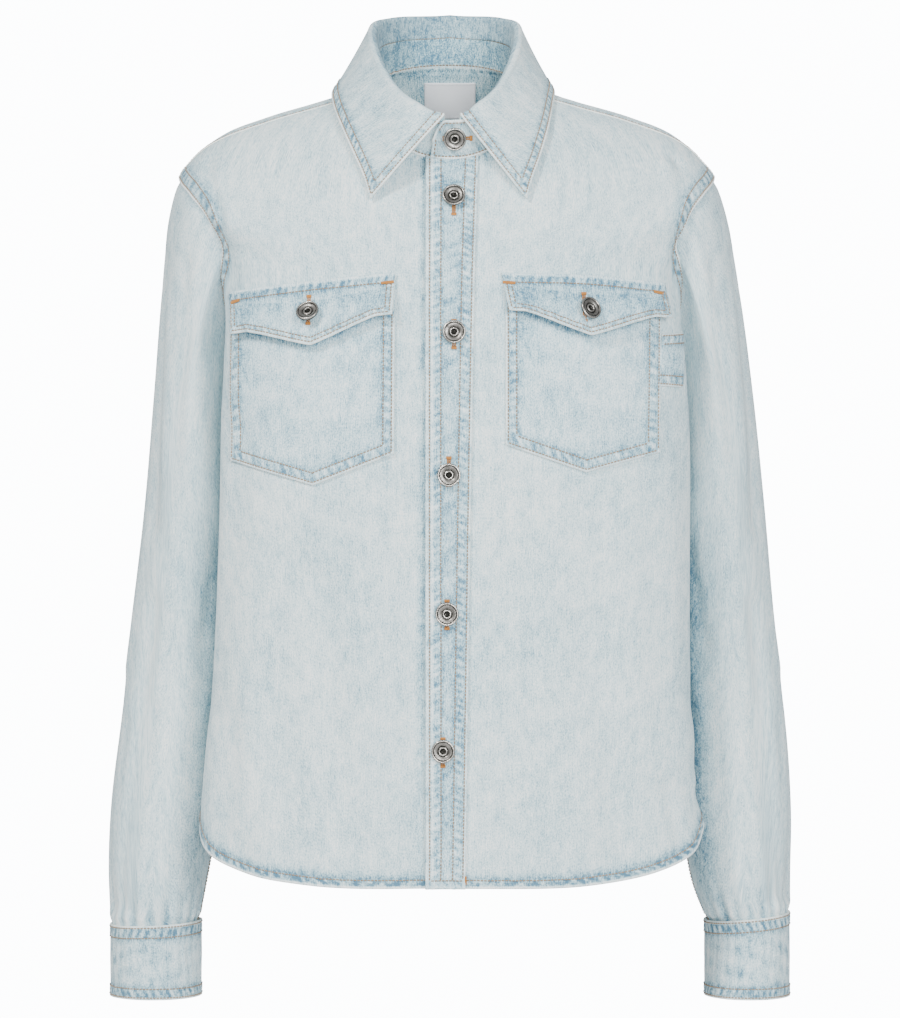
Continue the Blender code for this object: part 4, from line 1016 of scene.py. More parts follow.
def finish_front(cloth, outer_edge):
    """Sew the armhole and the hem; the shoulder and side edges go in under the yoke and the back."""
    neck, arm = len(NECK_ROWS), len(NECK_ROWS) + len(ARM_SWINGS)
    cloth.sew([
        Seam(outer_edge, *FRONT_ARMHOLE_SEAM, neck, arm, tone=1.1, ridges=(0.8,), pitch=1.35),
        Seam("foot", HEM_ROW, 7.2, tone=1.5, pucker=2.0, slant=1.2, pitch=1.4),
        Seam("top", (), 7.0),
    ])
    cloth.press(outer_edge, 0, neck)
    cloth.press(outer_edge, arm)
    dress(cloth, PANEL_WALL)


def make_left_front():
    """The wearer's left front, which lies on top."""
    points = creased_front(body(*front_rows(BAND_FREE_EDGE)))
    finish_front(Cloth("front_left", points, curved=True), "last")


def make_right_front():
    """The wearer's right front; along the closure it lies behind the left one."""
    angles, stations = front_rows(-UNDERLAP_EDGE)
    points = creased_front(body(-angles[:, ::-1], stations[:, ::-1]))
    under = ease(points[..., 0], BAND_FREE_EDGE - UNDERLAP_RUN, BAND_FREE_EDGE - UNDERLAP_FULL)
    points[..., 1] += UNDERLAP_DROP * under
    cloth = Cloth("front_right", points, grain=-1, curved=True)
    # Painted shadow: the front is bluer in a thin line just outside the band's edge
    from_painted_shadow = points[..., 0] - BAND_FREE_EDGE + CLOSURE_PAINTED_SHADOW_OUT
    cloth.blue = CLOSURE_PAINTED_SHADOW * bump(from_painted_shadow, CLOSURE_PAINTED_SHADOW_REACH)
    finish_front(cloth, "first")


def make_back():
    """The back, in one piece; it laps over both fronts at the side seams."""
    swings = BACK_SWINGS.copy()
    swings[0] -= UNDER_SHARE * 2.0
    edge = armhole_angle(FULL_TURN - swings)
    steps = armhole_station(FULL_TURN - swings)
    turns = SIDE_ANGLE + (FULL_TURN - 2.0 * SIDE_ANGLE) * BACK_SHARES
    angles = np.concatenate((spread(edge, FULL_TURN - edge, BACK_SHARES),
                             np.repeat(turns[None, :], len(LOWER_SHARES), axis=0)))
    stations = np.concatenate((np.repeat(steps[:1, None], len(BACK_SHARES), axis=1),
                               fanned(steps[0], steps[1:], np.abs(2.0 * BACK_SHARES - 1.0)),
                               hem_stations(fold_angle(turns)[1])))
    points = body(angles, stations)
    points = with_folds(points, grid_normals(points), BACK_LINES)
    cloth = Cloth("back", points, grain=len(BACK_SHARES) // 2, curved=True)
    arm = len(swings)
    cloth.sew([*both(*ARMHOLE_SEAM, 0, arm), *both(*FELLED_SEAM, arm), Seam("foot", HEM_ROW, 7.4)])
    cloth.press("top")
    dress(cloth, PANEL_WALL)


def make_yoke():
    """The yoke, over both shoulders and the top of the back."""
    swings = YOKE_SWINGS.copy()
    swings[-1] += UNDER_SHARE
    edge = np.concatenate((ridge_angle(NECK_ROWS), armhole_angle(FULL_TURN - swings)))
    stations = fanned_from_neck(armhole_station(FULL_TURN - swings), np.abs(2.0 * YOKE_SHARES - 1.0))
    points = body(spread(edge, FULL_TURN - edge, YOKE_SHARES), stations)
    cloth = Cloth("yoke", points, grain=len(YOKE_SHARES) // 2, curved=True)
    neck = len(NECK_ROWS)
    cloth.sew([*both(*SHOULDER_SEAM, 0, neck), *both(*ARMHOLE_SEAM, neck),
               Seam("foot", *FELLED_SEAM), Seam("top", (), 6.0)])
    dress(cloth, PANEL_WALL, radius=0.42)


# ---------------------------------------------------------------- sleeves and cuffs

SLEEVE_LENGTH = 575.0
SLEEVE_GIRTH = 400.0
SLEEVE_RADIUS = 38.0
SLEEVE_SINK = 1.1           # the sleeve's head lies this far under the armhole's edge
SINK_RUN = 9.0              # and comes up again over this length
CUFF_SINK = 1.3             # and its foot this far inside the cuff
CUFF_COVER = 5.0            # length of sleeve inside the cuff
GATHER_RISE = 1.7
GATHER_REACH = 26.0
# Painted shade on each sleeve's inside, next to the body: how blue it makes the cloth, and the swing of its
# middle
SLEEVE_INSIDE_PAINTED_SHADE = {"right": 0.45, "left": 1.00}
SHADED_INSIDE_SWING = 2.5          # the middle of the bluer inside of a sleeve
CUFF_HEIGHT = 58.0
CUFF_GIRTH = 250.0
CUFF_LAP_END = CUFF_LAP_ANGLE - CUFF_LAP
CUFF_SEAM_LOOKS = {"tone": 1.2, "pucker": 1.4}
# Upright ribs in a cuff: their pace round it, how far and how often they sway, and their rise
RIB_PACE, RIB_SWAY, RIB_SWAYS, RIB_RISE = 36.0, 2.0, 5.0, 0.42
PLACKET_LIFT = 0.5          # of a sleeve placket, besides its own wall


def armhole_loop(side, swing):
    """The armhole's edge; side +1 is the wearer's left."""
    return body(side * armhole_angle(swing), armhole_station(swing))


def armhole_frame(side, swing):
    """Outward and inboard directions of the body's cloth along the armhole."""
    angle, station = side * armhole_angle(swing), armhole_station(swing)
    ahead = armhole_loop(side, swing + 0.01) - armhole_loop(side, swing - 0.01)
    across = body(angle + 0.004, station) - body(angle - 0.004, station)
    down = body(angle, station + 0.5) - body(angle, station - 0.5)
    outward = unit(np.cross(down, across))
    return outward, unit(np.cross(ahead, outward) * side)


def sleeve_sides(side, station):
    """Middle and half width of a sleeve's ring."""
    outer, inner = (SLEEVE.read(f"{SIDE_NAMES[side]}_{part}_x", station) for part in ("outer", "inner"))
    return (outer + inner) / 2.0, (outer - inner) / 2.0


def sleeve_form(side, swing, station):
    """Sleeve ring; swing 0 is the outside, a quarter turn the front, a half the inside."""
    middle, half = sleeve_sides(side, station)
    share = (1.0 - np.cos(swing)) / 2.0
    forward, out = (np.abs(wave) ** (2.0 / SLEEVE_SQUARENESS) * np.sign(wave)
                    for wave in (np.sin(swing), np.cos(swing)))
    x = side * (middle + half * out)
    y = SLEEVE.read("centre_y", station) - SLEEVE.read("half_depth", station) * forward
    outer_z, inner_z = SLEEVE.read(SIDE_NAMES[side] + "_outer_z", station), SLEEVE.read("inner_z", station)
    z = outer_z + (inner_z - outer_z) * share
    return np.stack(np.broadcast_arrays(x, y, z), axis=-1)


def sleeve_outward(side, points, station):
    middle, half = sleeve_sides(side, station)
    x = (points[..., 0] - side * middle) / half**2
    y = (points[..., 1] - SLEEVE.read("centre_y", station)) / SLEEVE.read("half_depth", station)**2
    return unit(np.stack(np.broadcast_arrays(x, y, np.zeros_like(y)), axis=-1))


SLEEVE_LINES = {side: crease_lines(SLEEVE_FOLDS + SLEEVE_CREASES, partial(sleeve_form, side))
                for side in SIDE_NAMES}


def sleeve_surface(side, swing, station):
    """Outer face of a sleeve, from the armhole down to the cuff."""
    form = sleeve_form(side, swing, station)
    start = sleeve_form(side, swing, np.zeros_like(station))
    loop = armhole_loop(side, swing)
    top, foot = armhole_loop(side, np.zeros(1))[0], armhole_loop(side, np.full(1, HALF_TURN))[0]
    slope = top - foot
    clear = unit(np.array([side * slope[2], 0.0, -side * slope[0]]))
    fade = 1.0 - ease(station, 0.0, SLEEVE_LOOP_FADE)
    points = form + (loop - start) * fade[..., None] + clear * ease(station, 0.0, 0.03)[..., None]
    folded = with_folds(points, sleeve_outward(side, points, station), SLEEVE_LINES[side])
    calm = ease(station, 0.0, SLEEVE_CALM_TOP) * (1.0 - ease(station, SLEEVE_CALM_FOOT, 1.0))
    return points + (folded - points) * calm[..., None]


def sleeve_grid(side):
    """The sleeve's cloth, from under the armhole's edge into the cuff, its gathers and the painted shade on
    its inside.
    """
    stations = sewn_shares(SLEEVE_LENGTH, 4.3)
    around = shares_of(SLEEVE_GIRTH, 3.4, at_end=True)
    swings = HALF_TURN - 0.02 * (1.0 - ease(around, 0.0, 0.03)) + FULL_TURN * around
    station, swing = grid_of(stations, swings)
    points = sleeve_surface(side, swing, station)
    outward, inboard = armhole_frame(side, swing[0])
    sunk = 1.0 - ease(station * SLEEVE_LENGTH, 0.0, SINK_RUN)
    points = points - outward[None] * (SLEEVE_SINK * sunk)[..., None]
    head = points[0] + inboard * UNDER - outward * 0.35
    rise = (1.0 - station) * SLEEVE_LENGTH
    seed = SEEDS["gathers_" + SIDE_NAMES[side]]
    waves = ripple(swing * SLEEVE_RADIUS * 0.5, seed) * np.exp(-rise / GATHER_REACH)
    foot = CUFF_SINK * (1.0 - ease(rise, 1.0, SINK_RUN))
    lift = GATHER_RISE * waves * ease(rise, 0.0, 5.0) - foot
    points = points + sleeve_outward(side, points, station) * lift[..., None]
    end = points[-1] - np.array([0.0, 0.0, CUFF_COVER])
    # Painted shade where the sleeve's inside turns in next to the body, fading near both its ends
    inside = (swell(swing % FULL_TURN - SHADED_INSIDE_SWING, 0.6) * ease(station, 0.05, 0.25)
              * (1.0 - ease(station, 0.85, 1.0)))
    shades = [np.concatenate((values[:1], values, values[-1:])) for values in (waves, inside)]
    return np.concatenate((head[None], points, end[None])), *shades


def make_sleeve(side, name):
    points, waves, inside = sleeve_grid(side)
    cloth = Cloth(f"sleeve_{name}", points, mirror=side > 0, grain=points.shape[1] // 2)
    # The gathers' dips are bluer and their crests paler; the painted shade on the sleeve's inside is added
    # here
    cloth.blue = 1.1 * np.clip(-waves - 0.05, 0.0, 1.0) + SLEEVE_INSIDE_PAINTED_SHADE[name] * inside
    cloth.wear = 1.1 * np.clip(waves - 0.1, 0.0, 1.0)
    cloth.sew([Seam("last", *FELLED_SEAM)], turning=0.4)
    cloth.press("first", depth=0.5)
    # Painted shadow: bluer just below the armhole's edge, where the body's cloth laps over the sleeve
    cloth.blue = np.maximum(cloth.blue, 0.8 * np.exp(-cloth.from_edge("top")[0] / 3.0))
    dress(cloth, PANEL_WALL)


def cuff_surface(side, swing, share, proud):
    """Outer face of a cuff; share 0 is its upper edge."""
    ring = sleeve_form(side, swing, np.ones_like(swing))
    outward = sleeve_outward(side, ring, np.ones_like(swing))
    points = ring + outward * np.broadcast_to(proud, swing.shape)[..., None]
    top = points[..., 2] - 0.4
    points[..., 2] = top + (CUFF_FOOT - top) * share
    return points


def make_cuff(side, name):
    """A band once round the wrist, with one end lapped over the other."""
    shares = sewn_shares(CUFF_HEIGHT, 1.9)
    around = sewn_shares(CUFF_GIRTH, 1.6)
    turns = CUFF_LAP_ANGLE - (FULL_TURN + CUFF_LAP) * (1.0 - around)
    share, turn = grid_of(shares, turns)
    lift = CUFF_LAP_LIFT * ease(turn, CUFF_LAP_END - CUFF_LAP_RUN, CUFF_LAP_END)
    waves = ripple(turn * RIB_PACE + RIB_SWAY * np.sin(share * RIB_SWAYS), SEEDS["ribs_" + name])
    ribs = RIB_RISE * waves * swell(share - 0.45, 0.55)
    clouds = (ripple(turn * 14.0 + share * 15.0, SEEDS["clouds_" + name])
              * ripple(turn * 10.0 - share * 12.0, SEEDS["clouds"]))
    points = cuff_surface(side, turn, share, CUFF_PROUD + lift + ribs)
    cloth = Cloth(f"cuff_{name}", points, mirror=side > 0, grain=len(turns) // 2)
    cloth.blue = 0.10 + np.clip(clouds, 0.0, 1.0)
    cloth.wear = 0.7 * np.clip(-clouds - 0.1, 0.0, 1.0)
    cloth.sew([Seam("top", (1.3, 9.2), 10.0, **CUFF_SEAM_LOOKS),
               Seam("foot", (1.6, 8.4), 9.2, **CUFF_SEAM_LOOKS), *both(*STRIP_SEAM)],
              turning=0.3, pucker=0.5)
    dress(cloth, CUFF_WALL)


def make_sleeve_placket(side, name):
    """The strip that finishes the slit above a cuff."""
    turns = np.linspace(CUFF_LAP_ANGLE - SLEEVE_PLACKET_WIDTH, CUFF_LAP_ANGLE, 17)
    stations = np.linspace(SLEEVE_PLACKET_TOP, SLEEVE_PLACKET_FOOT + 0.012, 46)
    station, turn = grid_of(stations, turns)
    points = sleeve_surface(side, turn, station)
    points = lifted(points, -side * (LAY_GAP + STRIP_WALL + PLACKET_LIFT))
    cloth = Cloth(f"sleeve_placket_{name}", points, mirror=side > 0)
    cloth.sew([*both(*STRIP_SEAM), Seam("top", (1.5, 9.0), 9.5)])
    dress(cloth, STRIP_WALL)


# ---------------------------------------------------------------- collar

STAND_HEIGHT = 30.0
STAND_GIRTH = 450.0
STAND_FOOT_STATION = 2.5    # the stand's foot covers the neckline down to this station
STAND_WALL = 2.3
STAND_FOOT_LIFT = 0.5
STAND_ROUNDING = 0.36       # share of its height that the stand loses at its two ends,
STAND_ROUNDING_RUN = 9.0    # over this length
LEAF_WALL = 1.8
LEAF_GIRTH = 640.0
LEAF_DEPTH = 62.0
LEAF_SINK = 1.6             # how far the leaf goes down between the stand's layers
LEAF_FOLD_ROWS = 10
LEAF_INNER_ROWS = 8
LEAF_START = LEAF_ROWS[0][0]
LEAF_START_SIZE = 0.4       # of the fold at the leaf's front ends, as a share of its full size,
LEAF_START_END = 0.45       # which it reaches at this angle
LEAF_FOLD_RISE = 1.4        # how far the fold rises besides
RIGHT_LEAF_START = 0.01     # how far round the stand each front end of the leaf starts later
LEFT_LEAF_START = 0.09
LABEL_WALL = 0.7
LABEL_LIFT = 0.8            # of the label's face off the yoke's inner face
LABEL_BOW, LABEL_BOW_REACH = 0.5, 24.0
UP = np.array([0.0, 0.0, 1.0])


def stand_edge(angle):
    """Upper edge of the collar stand."""
    side, turn = fold_angle(angle)
    half = np.where(side < 0.0, STAND_RIGHT_HALF, STAND_LEFT_HALF)
    forward = np.cos(turn)
    depth = np.where(forward > 0.0, -STAND_FRONT, STAND_BACK)
    return np.stack((side * half * np.sin(turn), depth * np.abs(forward),
                     STAND_TOP.read("height", turn)), axis=-1)


def collar_out(angle):
    """Level direction straight out of the collar stand."""
    edge = stand_edge(angle)
    return unit(np.stack((edge[..., 0] / STAND_RIGHT_HALF**2, edge[..., 1] / STAND_FRONT**2,
                          np.zeros(edge.shape[:-1])), axis=-1))


def stand_surface(angle, share):
    """Outer face of the stand; share 0 is its lower edge, over the neckline."""
    station = np.full(angle.shape, STAND_FOOT_STATION)
    foot = body_form(angle, station)
    down = body_form(angle, station + 2.0) - foot
    across = body_form(angle + 0.01, station) - body_form(angle - 0.01, station)
    foot = foot + unit(np.cross(down, across)) * STAND_FOOT_LIFT
    edge = stand_edge(angle) + collar_out(angle) * STAND_WALL / 2.0
    return foot + (edge - foot) * share[..., None]


def make_collar_stand():
    """The band round the neck; its left end laps over the right one."""
    across = sewn_shares(STAND_HEIGHT, 1.9)
    around = sewn_shares(STAND_GIRTH, 1.7)
    turns = -STAND_LAP + (FULL_TURN + 2.0 * STAND_LAP) * around
    share, turn = grid_of(1.0 - across, turns)
    from_end = np.minimum(turn + STAND_LAP, FULL_TURN + STAND_LAP - turn) * STAND_FRONT
    share = share * (1.0 - STAND_ROUNDING * np.clip(1.0 - from_end / STAND_ROUNDING_RUN, 0.0, 1.0) ** 2)
    points = stand_surface(turn, share)
    right_end = FULL_TURN - STAND_LAP
    points[..., 1] += STAND_LAP_DROP * ease(turn, right_end - STAND_LAP_RUN, right_end)
    cloth = Cloth("collar_stand", points, grain=len(turns) // 2)
    # The stand is bluer round the back: partly cloth that faded less, partly painted shade inside the neck
    cloth.blue = 0.55 * ease(np.abs(turn - HALF_TURN), 2.2, 1.6)
    cloth.sew([Seam("foot", (2.2,), 3.4, ridges=(0.9,)), Seam("foot", (2.2,), 3.4, inside=True),
               Seam("top", (3.0,), 4.0, ridges=(1.4,)),
               Seam("top", (2.6,), 4.0, inside=True, ridges=(1.4,)), *both((2.4,), 3.6)],
              turning=0.4, pucker=0.3)
    dress(cloth, STAND_WALL, inside=STAND_WALL)


def leaf_lines(angle):
    """The fold's foot, middle, way out and free edge at each angle round the collar, and its radius."""
    side, turn = fold_angle(angle)
    away = ease(turn, LEAF_START, LEAF_START_END)
    angle = angle + side * np.where(side < 0.0, RIGHT_LEAF_START, LEFT_LEAF_START) * (1.0 - away)
    foot = stand_edge(angle)
    out = collar_out(angle)
    size = LEAF_START_SIZE + (1.0 - LEAF_START_SIZE) * away
    radius = (LEAF_FOLD_RADIUS * size)[..., None]
    rise = (LEAF.read("roll_rise", turn) * size)[..., None] + LEAF_FOLD_RISE
    middle = foot + UP * (rise - radius) + out * (LEAF_ROLL_OUT + radius)
    edge_x = side * np.where(side < 0.0, LEAF.read("right_x", turn), LEAF.read("left_x", turn))
    edge = np.stack((edge_x, LEAF.read("edge_y", turn), LEAF.read("edge_z", turn)), axis=-1)
    return foot, middle, out, edge, radius


def leaf_fall(angle, share):
    """Middle of the leaf's cloth on the way from the fold down to the free edge."""
    _, middle, out, edge, radius = leaf_lines(angle)
    outer = middle + out * radius
    side, turn = fold_angle(angle)
    lift = LEAF_LIFT * (side < 0.0) * (1.0 - ease(turn, LEAF_START, 0.6))
    bulge = (LEAF_BULGE + lift) * np.sin(share * HALF_TURN)
    return outer + (edge - outer) * share[..., None] + out * bulge[..., None]


def make_collar_leaf():
    """The leaf, folded over above the stand; its free edge comes last."""
    around = sewn_shares(LEAF_GIRTH, 1.9)
    turns = LEAF_START + (FULL_TURN - 2.0 * LEAF_START) * around
    foot, middle, out, _, radius = leaf_lines(turns)
    inner = middle - out * radius
    rows = [foot - UP * LEAF_SINK + (inner - foot + UP * LEAF_SINK) * share
            for share in np.linspace(0.0, 1.0, LEAF_INNER_ROWS + 1)[:-1]]
    for turn in np.linspace(HALF_TURN, 0.0, LEAF_FOLD_ROWS):
        rows.append(middle + (out * math.cos(turn) + UP * math.sin(turn)) * radius)
    share, turn = grid_of(shares_of(LEAF_DEPTH, 2.2, at_end=True)[1:], turns)
    points = np.concatenate((np.stack(rows), leaf_fall(turn, share)))
    points = lifted(points, LEAF_WALL / 2.0)
    points = with_folds(points, grid_normals(points), crease_lines(LEAF_CREASES, leaf_fall))
    cloth = Cloth("collar_leaf", points, grain=len(turns) // 2)
    # The leaf's inner rise and half its fold, seen inside the neck, are bluer: partly cloth that faded
    # less, partly painted shade; the fall keeps a little blue
    cloth.blue[:len(rows) - LEAF_FOLD_ROWS // 2] = 0.75
    cloth.blue[len(rows):] = 0.10
    cloth.sew([Seam("foot", *LEAF_SEAM, tone=0.95, pucker=1.3), *both(*LEAF_SEAM, tone=0.6)],
              turning=0.3, pucker=0.36)
    dress(cloth, LEAF_WALL)


def make_neck_label():
    """A plain woven label on the inner face of the yoke, below the back neck seam."""
    across = np.linspace(-LABEL_WIDTH / 2.0, LABEL_WIDTH / 2.0, 41)
    z, x = grid_of(np.linspace(LABEL_TOP, LABEL_FOOT, 28), across)

    def inner_back(station):
        return body(HALF_TURN - angle_at(x, station), station)

    points = inner_back(station_at(z, 0.0, UNDERARM_STATION, inner_back))
    points[..., 1] -= PANEL_WALL + LAY_GAP + LABEL_LIFT
    hang = ease(LABEL_TOP - z, 0.0, LABEL_TOP - LABEL_FOOT)
    points[..., 1] -= LABEL_BOW * swell(x, LABEL_BOW_REACH) * hang
    cloth = Cloth("neck_label", points)
    cloth.sew([Seam("top", *LABEL_SEAM), Seam("foot", *LABEL_SEAM), *both(*LABEL_SEAM)],
              turning=0.15, pucker=0.1)
    dress(cloth, LABEL_WALL, "label_tape", radius=0.2)


# ---------------------------------------------------------------- what lies on the fronts

BAND_WALL = 1.5
BAND_WIDTH = 37.0
BAND_LENGTH = 650.0
POCKET_WIDTH = 122.0
POCKET_HEIGHT = 108.0
POCKET_PUFF = 1.3
POCKET_ROWS = {"inner": (1.8, 8.2), "outer": (1.8, 10.4), "foot": (1.8, 8.8)}
FLAP_WIDTH = 124.0
FLAP_HEIGHT = 36.0
FLAP_CLIMB = 0.8            # how far a flap lies off its pocket where it starts to climb
FLAP_PROUD = 5.95           # how far its lower edge stands off besides
FLAP_BUTTON_PROUD = 2.55    # and the place of its button
FLAP_WAVE, FLAP_WAVE_PACE = 0.7, 60.0
FLAP_BLUE = 0.75            # of the shade across a flap; by shares of its height, it starts
FLAP_BLUE_START, FLAP_BLUE_FADE = 0.34, 0.22    # here and fades over this
TAB_ROWS = 34
# Which end of a pocket or flap its first and its last column lie at
ENDS = {"left": ("inner", "outer"), "right": ("outer", "inner")}


def make_placket_band():
    """The strip down the left front's free edge."""
    shares = sewn_shares(BAND_WIDTH, 1.7)
    hem = HEM_ROWS[0][1]
    stations = BAND_TOP_STATION + (hem - BAND_TOP_STATION) * shares_of(BAND_LENGTH, 1.5)
    inner = BAND_TOP_EDGE + (BAND_HEM_EDGE - BAND_TOP_EDGE) * stations / hem
    x = spread(np.full(stations.shape, BAND_FREE_EDGE), inner, shares)
    station = np.repeat(stations[:, None], len(shares), axis=1)
    points = creased_front(body(angle_at(x, station), station))
    waves = 0.35 * ripple(station * 0.42 + x * 0.15, SEEDS["band_waves"])
    waves += bump(station - 17.0 - 0.12 * x, 3.0) * bump(x - 2.0, 12.0)
    cloth = Cloth("placket_band", lifted(points, LAY_GAP + BAND_WALL + waves))
    clouds = ripple(station * 0.30 + x * 0.22, SEEDS["band_clouds"])
    cloth.blue = 0.16 + 0.5 * np.clip(clouds, 0.0, 1.0)
    cloth.sew([Seam("first", (3.3, 11.8), 12.4, pucker=0.9, ridges=(1.3, 5.0)),
               Seam("last", (1.9, 9.6), 10.2, pucker=0.9, ridges=(0.5,)), Seam("foot", HEM_ROW, 7.0)],
              turning=0.35, pucker=0.4)
    dress(cloth, BAND_WALL, "blue_denim")


def flap_foot(side, x):
    """Height of the flap's lower edge at this x, as it shows."""
    sizes = FLAPS[side]
    (inner_x, inner_z), (outer_x, outer_z) = sizes["inner"], sizes["outer"]
    share = np.clip((x - inner_x) / (outer_x - inner_x), 0.0, 1.0)
    return inner_z + (outer_z - inner_z) * share - flap_drop(share, sizes, "inner", "outer")


def make_pocket(side):
    """A breast pocket with a pointed lower edge; it is bluer under the flap, where it faded less, and just
    below the flap's edge, where the blue is painted shadow.
    """
    corners = {key: np.array(value) for key, value in POCKETS[side].items()}
    first, last = ENDS[side]
    half = shares_of(POCKET_WIDTH / 2.0, 1.5, at_start=True) / 2.0
    across = np.concatenate((half, 1.0 - half[-2::-1]))[None, :, None]
    down = shares_of(POCKET_HEIGHT, 1.5, at_end=True)[:, None, None]
    top = corners["top_" + first] * (1.0 - across) + corners["top_" + last] * across
    before = corners["foot_" + first] + (corners["point"] - corners["foot_" + first]) * across * 2.0
    after = corners["point"] + (corners["foot_" + last] - corners["point"]) * (across * 2.0 - 1.0)
    plan = top + (np.where(across <= 0.5, before, after) - top) * down
    puff = POCKET_PUFF * swell(across[..., 0] - 0.5, 0.5) * swell(down[..., 0] - 0.5, 0.62)
    cloth = Cloth(f"pocket_{side}", on_front(plan[..., 0], plan[..., 1], LAY_GAP + STRIP_WALL + puff))
    # Blue under the flap, where the cloth faded less, fading out just below the flap's edge as a painted
    # shadow
    below_flap_edge = np.maximum(flap_foot(side, plan[..., 0]) - plan[..., 1], 0.0)
    cloth.blue = 0.85 * np.exp(-below_flap_edge / 2.6)
    edges = {first: "first", last: "last", "foot": "foot"}
    cloth.sew([Seam(edges[part], rows, rows[-1] + 0.5, ridges=(0.5,), pitch=1.2)
               for part, rows in POCKET_ROWS.items()], turning=0.3, pucker=0.4)
    dress(cloth, STRIP_WALL, "blue_denim")


def flap_drop(share, sizes, first, last):
    """How far the flap hangs at a share of its width, between its first and its last end."""
    inwards = np.minimum(share, 1.0 - share)
    slope = np.clip((inwards - FLAP_SHOULDER) / (0.5 - FLAP_SHOULDER), 0.0, 1.0)
    bow = slope + FLAP_ROUNDING * (ease(slope, 0.0, 1.0) - slope)
    end = np.where(share < 0.5, sizes[first + "_drop"], sizes[last + "_drop"])
    return end + (sizes["point_drop"] - end) * bow


def make_flap(side):
    """A pointed flap that lies over its pocket and stands a little proud at the lower edge."""
    sizes = FLAPS[side]
    first, last = ENDS[side]
    across = sewn_shares(FLAP_WIDTH, 1.4)[None, :]
    down = sewn_shares(FLAP_HEIGHT, 1.3)[:, None]
    (start_x, start_z), (end_x, end_z) = sizes[first], sizes[last]
    start_x = start_x + sizes[first + "_lean"] * down
    end_x = end_x - sizes[last + "_lean"] * down
    x = start_x + (end_x - start_x) * across
    z = start_z + (end_z - start_z) * across - flap_drop(across, sizes, first, last) * down
    z = z + sizes["bow"] * swell(across - 0.5, 0.5) * (1.0 - down)
    climb = (STRIP_WALL + LAY_GAP + FLAP_CLIMB) * ease(down, 0.15, 0.6)
    wave = FLAP_WAVE * ripple(across * FLAP_WAVE_PACE, SEEDS["flap_waves_" + side])
    wave = wave * ease(down, 0.3, 1.0)
    lift = LAY_GAP + STRIP_WALL + climb + FLAP_PROUD * down**2 + wave
    cloth = Cloth(f"flap_{side}", on_front(x, z, np.broadcast_to(lift, x.shape)))
    below = down - FLAP_BLUE_START
    clouds = 0.55 + 0.45 * ripple(across * 40.0 + down * 3.0, SEEDS["flap_clouds"])
    fade = np.exp(-np.maximum(below, 0.0) / FLAP_BLUE_FADE)
    cloth.blue = FLAP_BLUE * fade * (below > 0.0) * clouds + sizes["blue"]
    cloth.sew([Seam("top", (7.0,), 7.8, tone=1.0, pucker=1.1), Seam("foot", *FLAP_SEAM, tone=0.35),
               *both(*FLAP_SEAM, tone=0.35)], turning=0.3, pucker=0.42)
    dress(cloth, STRIP_WALL, "blue_denim")


def make_loop_tab():
    """A small folded loop, caught in beside the left pocket."""
    (top_x, top_station), (foot_x, foot_station) = TAB_EDGE
    stations = np.linspace(top_station, foot_station, TAB_ROWS)
    edge = angle_at(np.linspace(top_x, foot_x, TAB_ROWS), stations)
    share = np.linspace(0.0, 1.0, 17)
    turn = spread(edge, edge + TAB_TURN * np.linspace(1.0, TAB_NARROWS, TAB_ROWS), share)
    points = body(turn, stations[:, None] + TAB_SLOPE * share)
    bow = 0.8 * swell(np.linspace(-1.0, 1.0, TAB_ROWS), 1.0)[:, None]
    cloth = Cloth("loop_tab", lifted(points, LAY_GAP + STRIP_WALL + bow))
    cloth.sew([Seam("top", *TAB_SEAM), Seam("foot", *TAB_SEAM)], turning=0.3, pucker=0.25)
    dress(cloth, STRIP_WALL, "blue_denim")


# ---------------------------------------------------------------- buttons, holes and tacks

BUTTON_SIDES = 40
BUTTON_SCALE = 1.03
BUTTON_LIFT = 0.9           # of a button off the cloth of the band or a flap
COLLAR_BUTTON_LIFT = 0.8    # and of the buttons on the stand and the cuffs
HOLE_LIFT = 0.25
STAND_HOLE_TURN = 0.035     # from the stand's button to the middle of its hole
CUFF_HOLE_LIFT = 0.3
# The tacks at a flap's corners: how far in from the corner, how far down and how far out
FLAP_TACK_IN, FLAP_TACK_DOWN, FLAP_TACK_LIFT = 5.6, 7.4, 1.7
# The upright tack at the foot of the band
FOOT_TACK_IN, FOOT_TACK_Z, FOOT_TACK_LIFT = 0.4, -598.0, 0.5
FOOT_TACK_LENGTH, FOOT_TACK_WIDTH, FOOT_TACK_PITCH = 7.0, 1.6, 0.55
UPRIGHT = (0.0, 0.0, 1.0)
LEVEL = (1.0, 0.0, 0.0)
# From the button's middle on its face, over the rim, to the middle of its underside:
# radius, height and how dark the metal is there
BUTTON_PROFILE = (
    (0.0, 1.3, 1.0), (0.9, 1.25, 1.0), (1.6, 1.25, 1.0), (1.9, 1.9, 0.9), (2.2, 2.6, 0.25),
    (2.6, 2.8, 0.0), (3.0, 2.65, 0.25), (3.4, 2.2, 0.95), (3.9, 2.1, 0.95), (4.3, 2.4, 0.6),
    (5.2, 2.7, 0.42), (6.2, 2.95, 0.55), (6.6, 2.9, 1.0), (6.9, 3.05, 0.85), (7.2, 3.5, 0.25),
    (7.7, 3.65, 0.0), (8.15, 3.45, 0.1), (8.45, 2.9, 0.45), (8.45, 2.1, 0.9), (8.1, 1.5, 1.0),
    (7.6, 0.9, 1.0), (6.0, 0.4, 1.0), (3.0, 0.2, 1.0), (0.0, 0.2, 1.0),
)


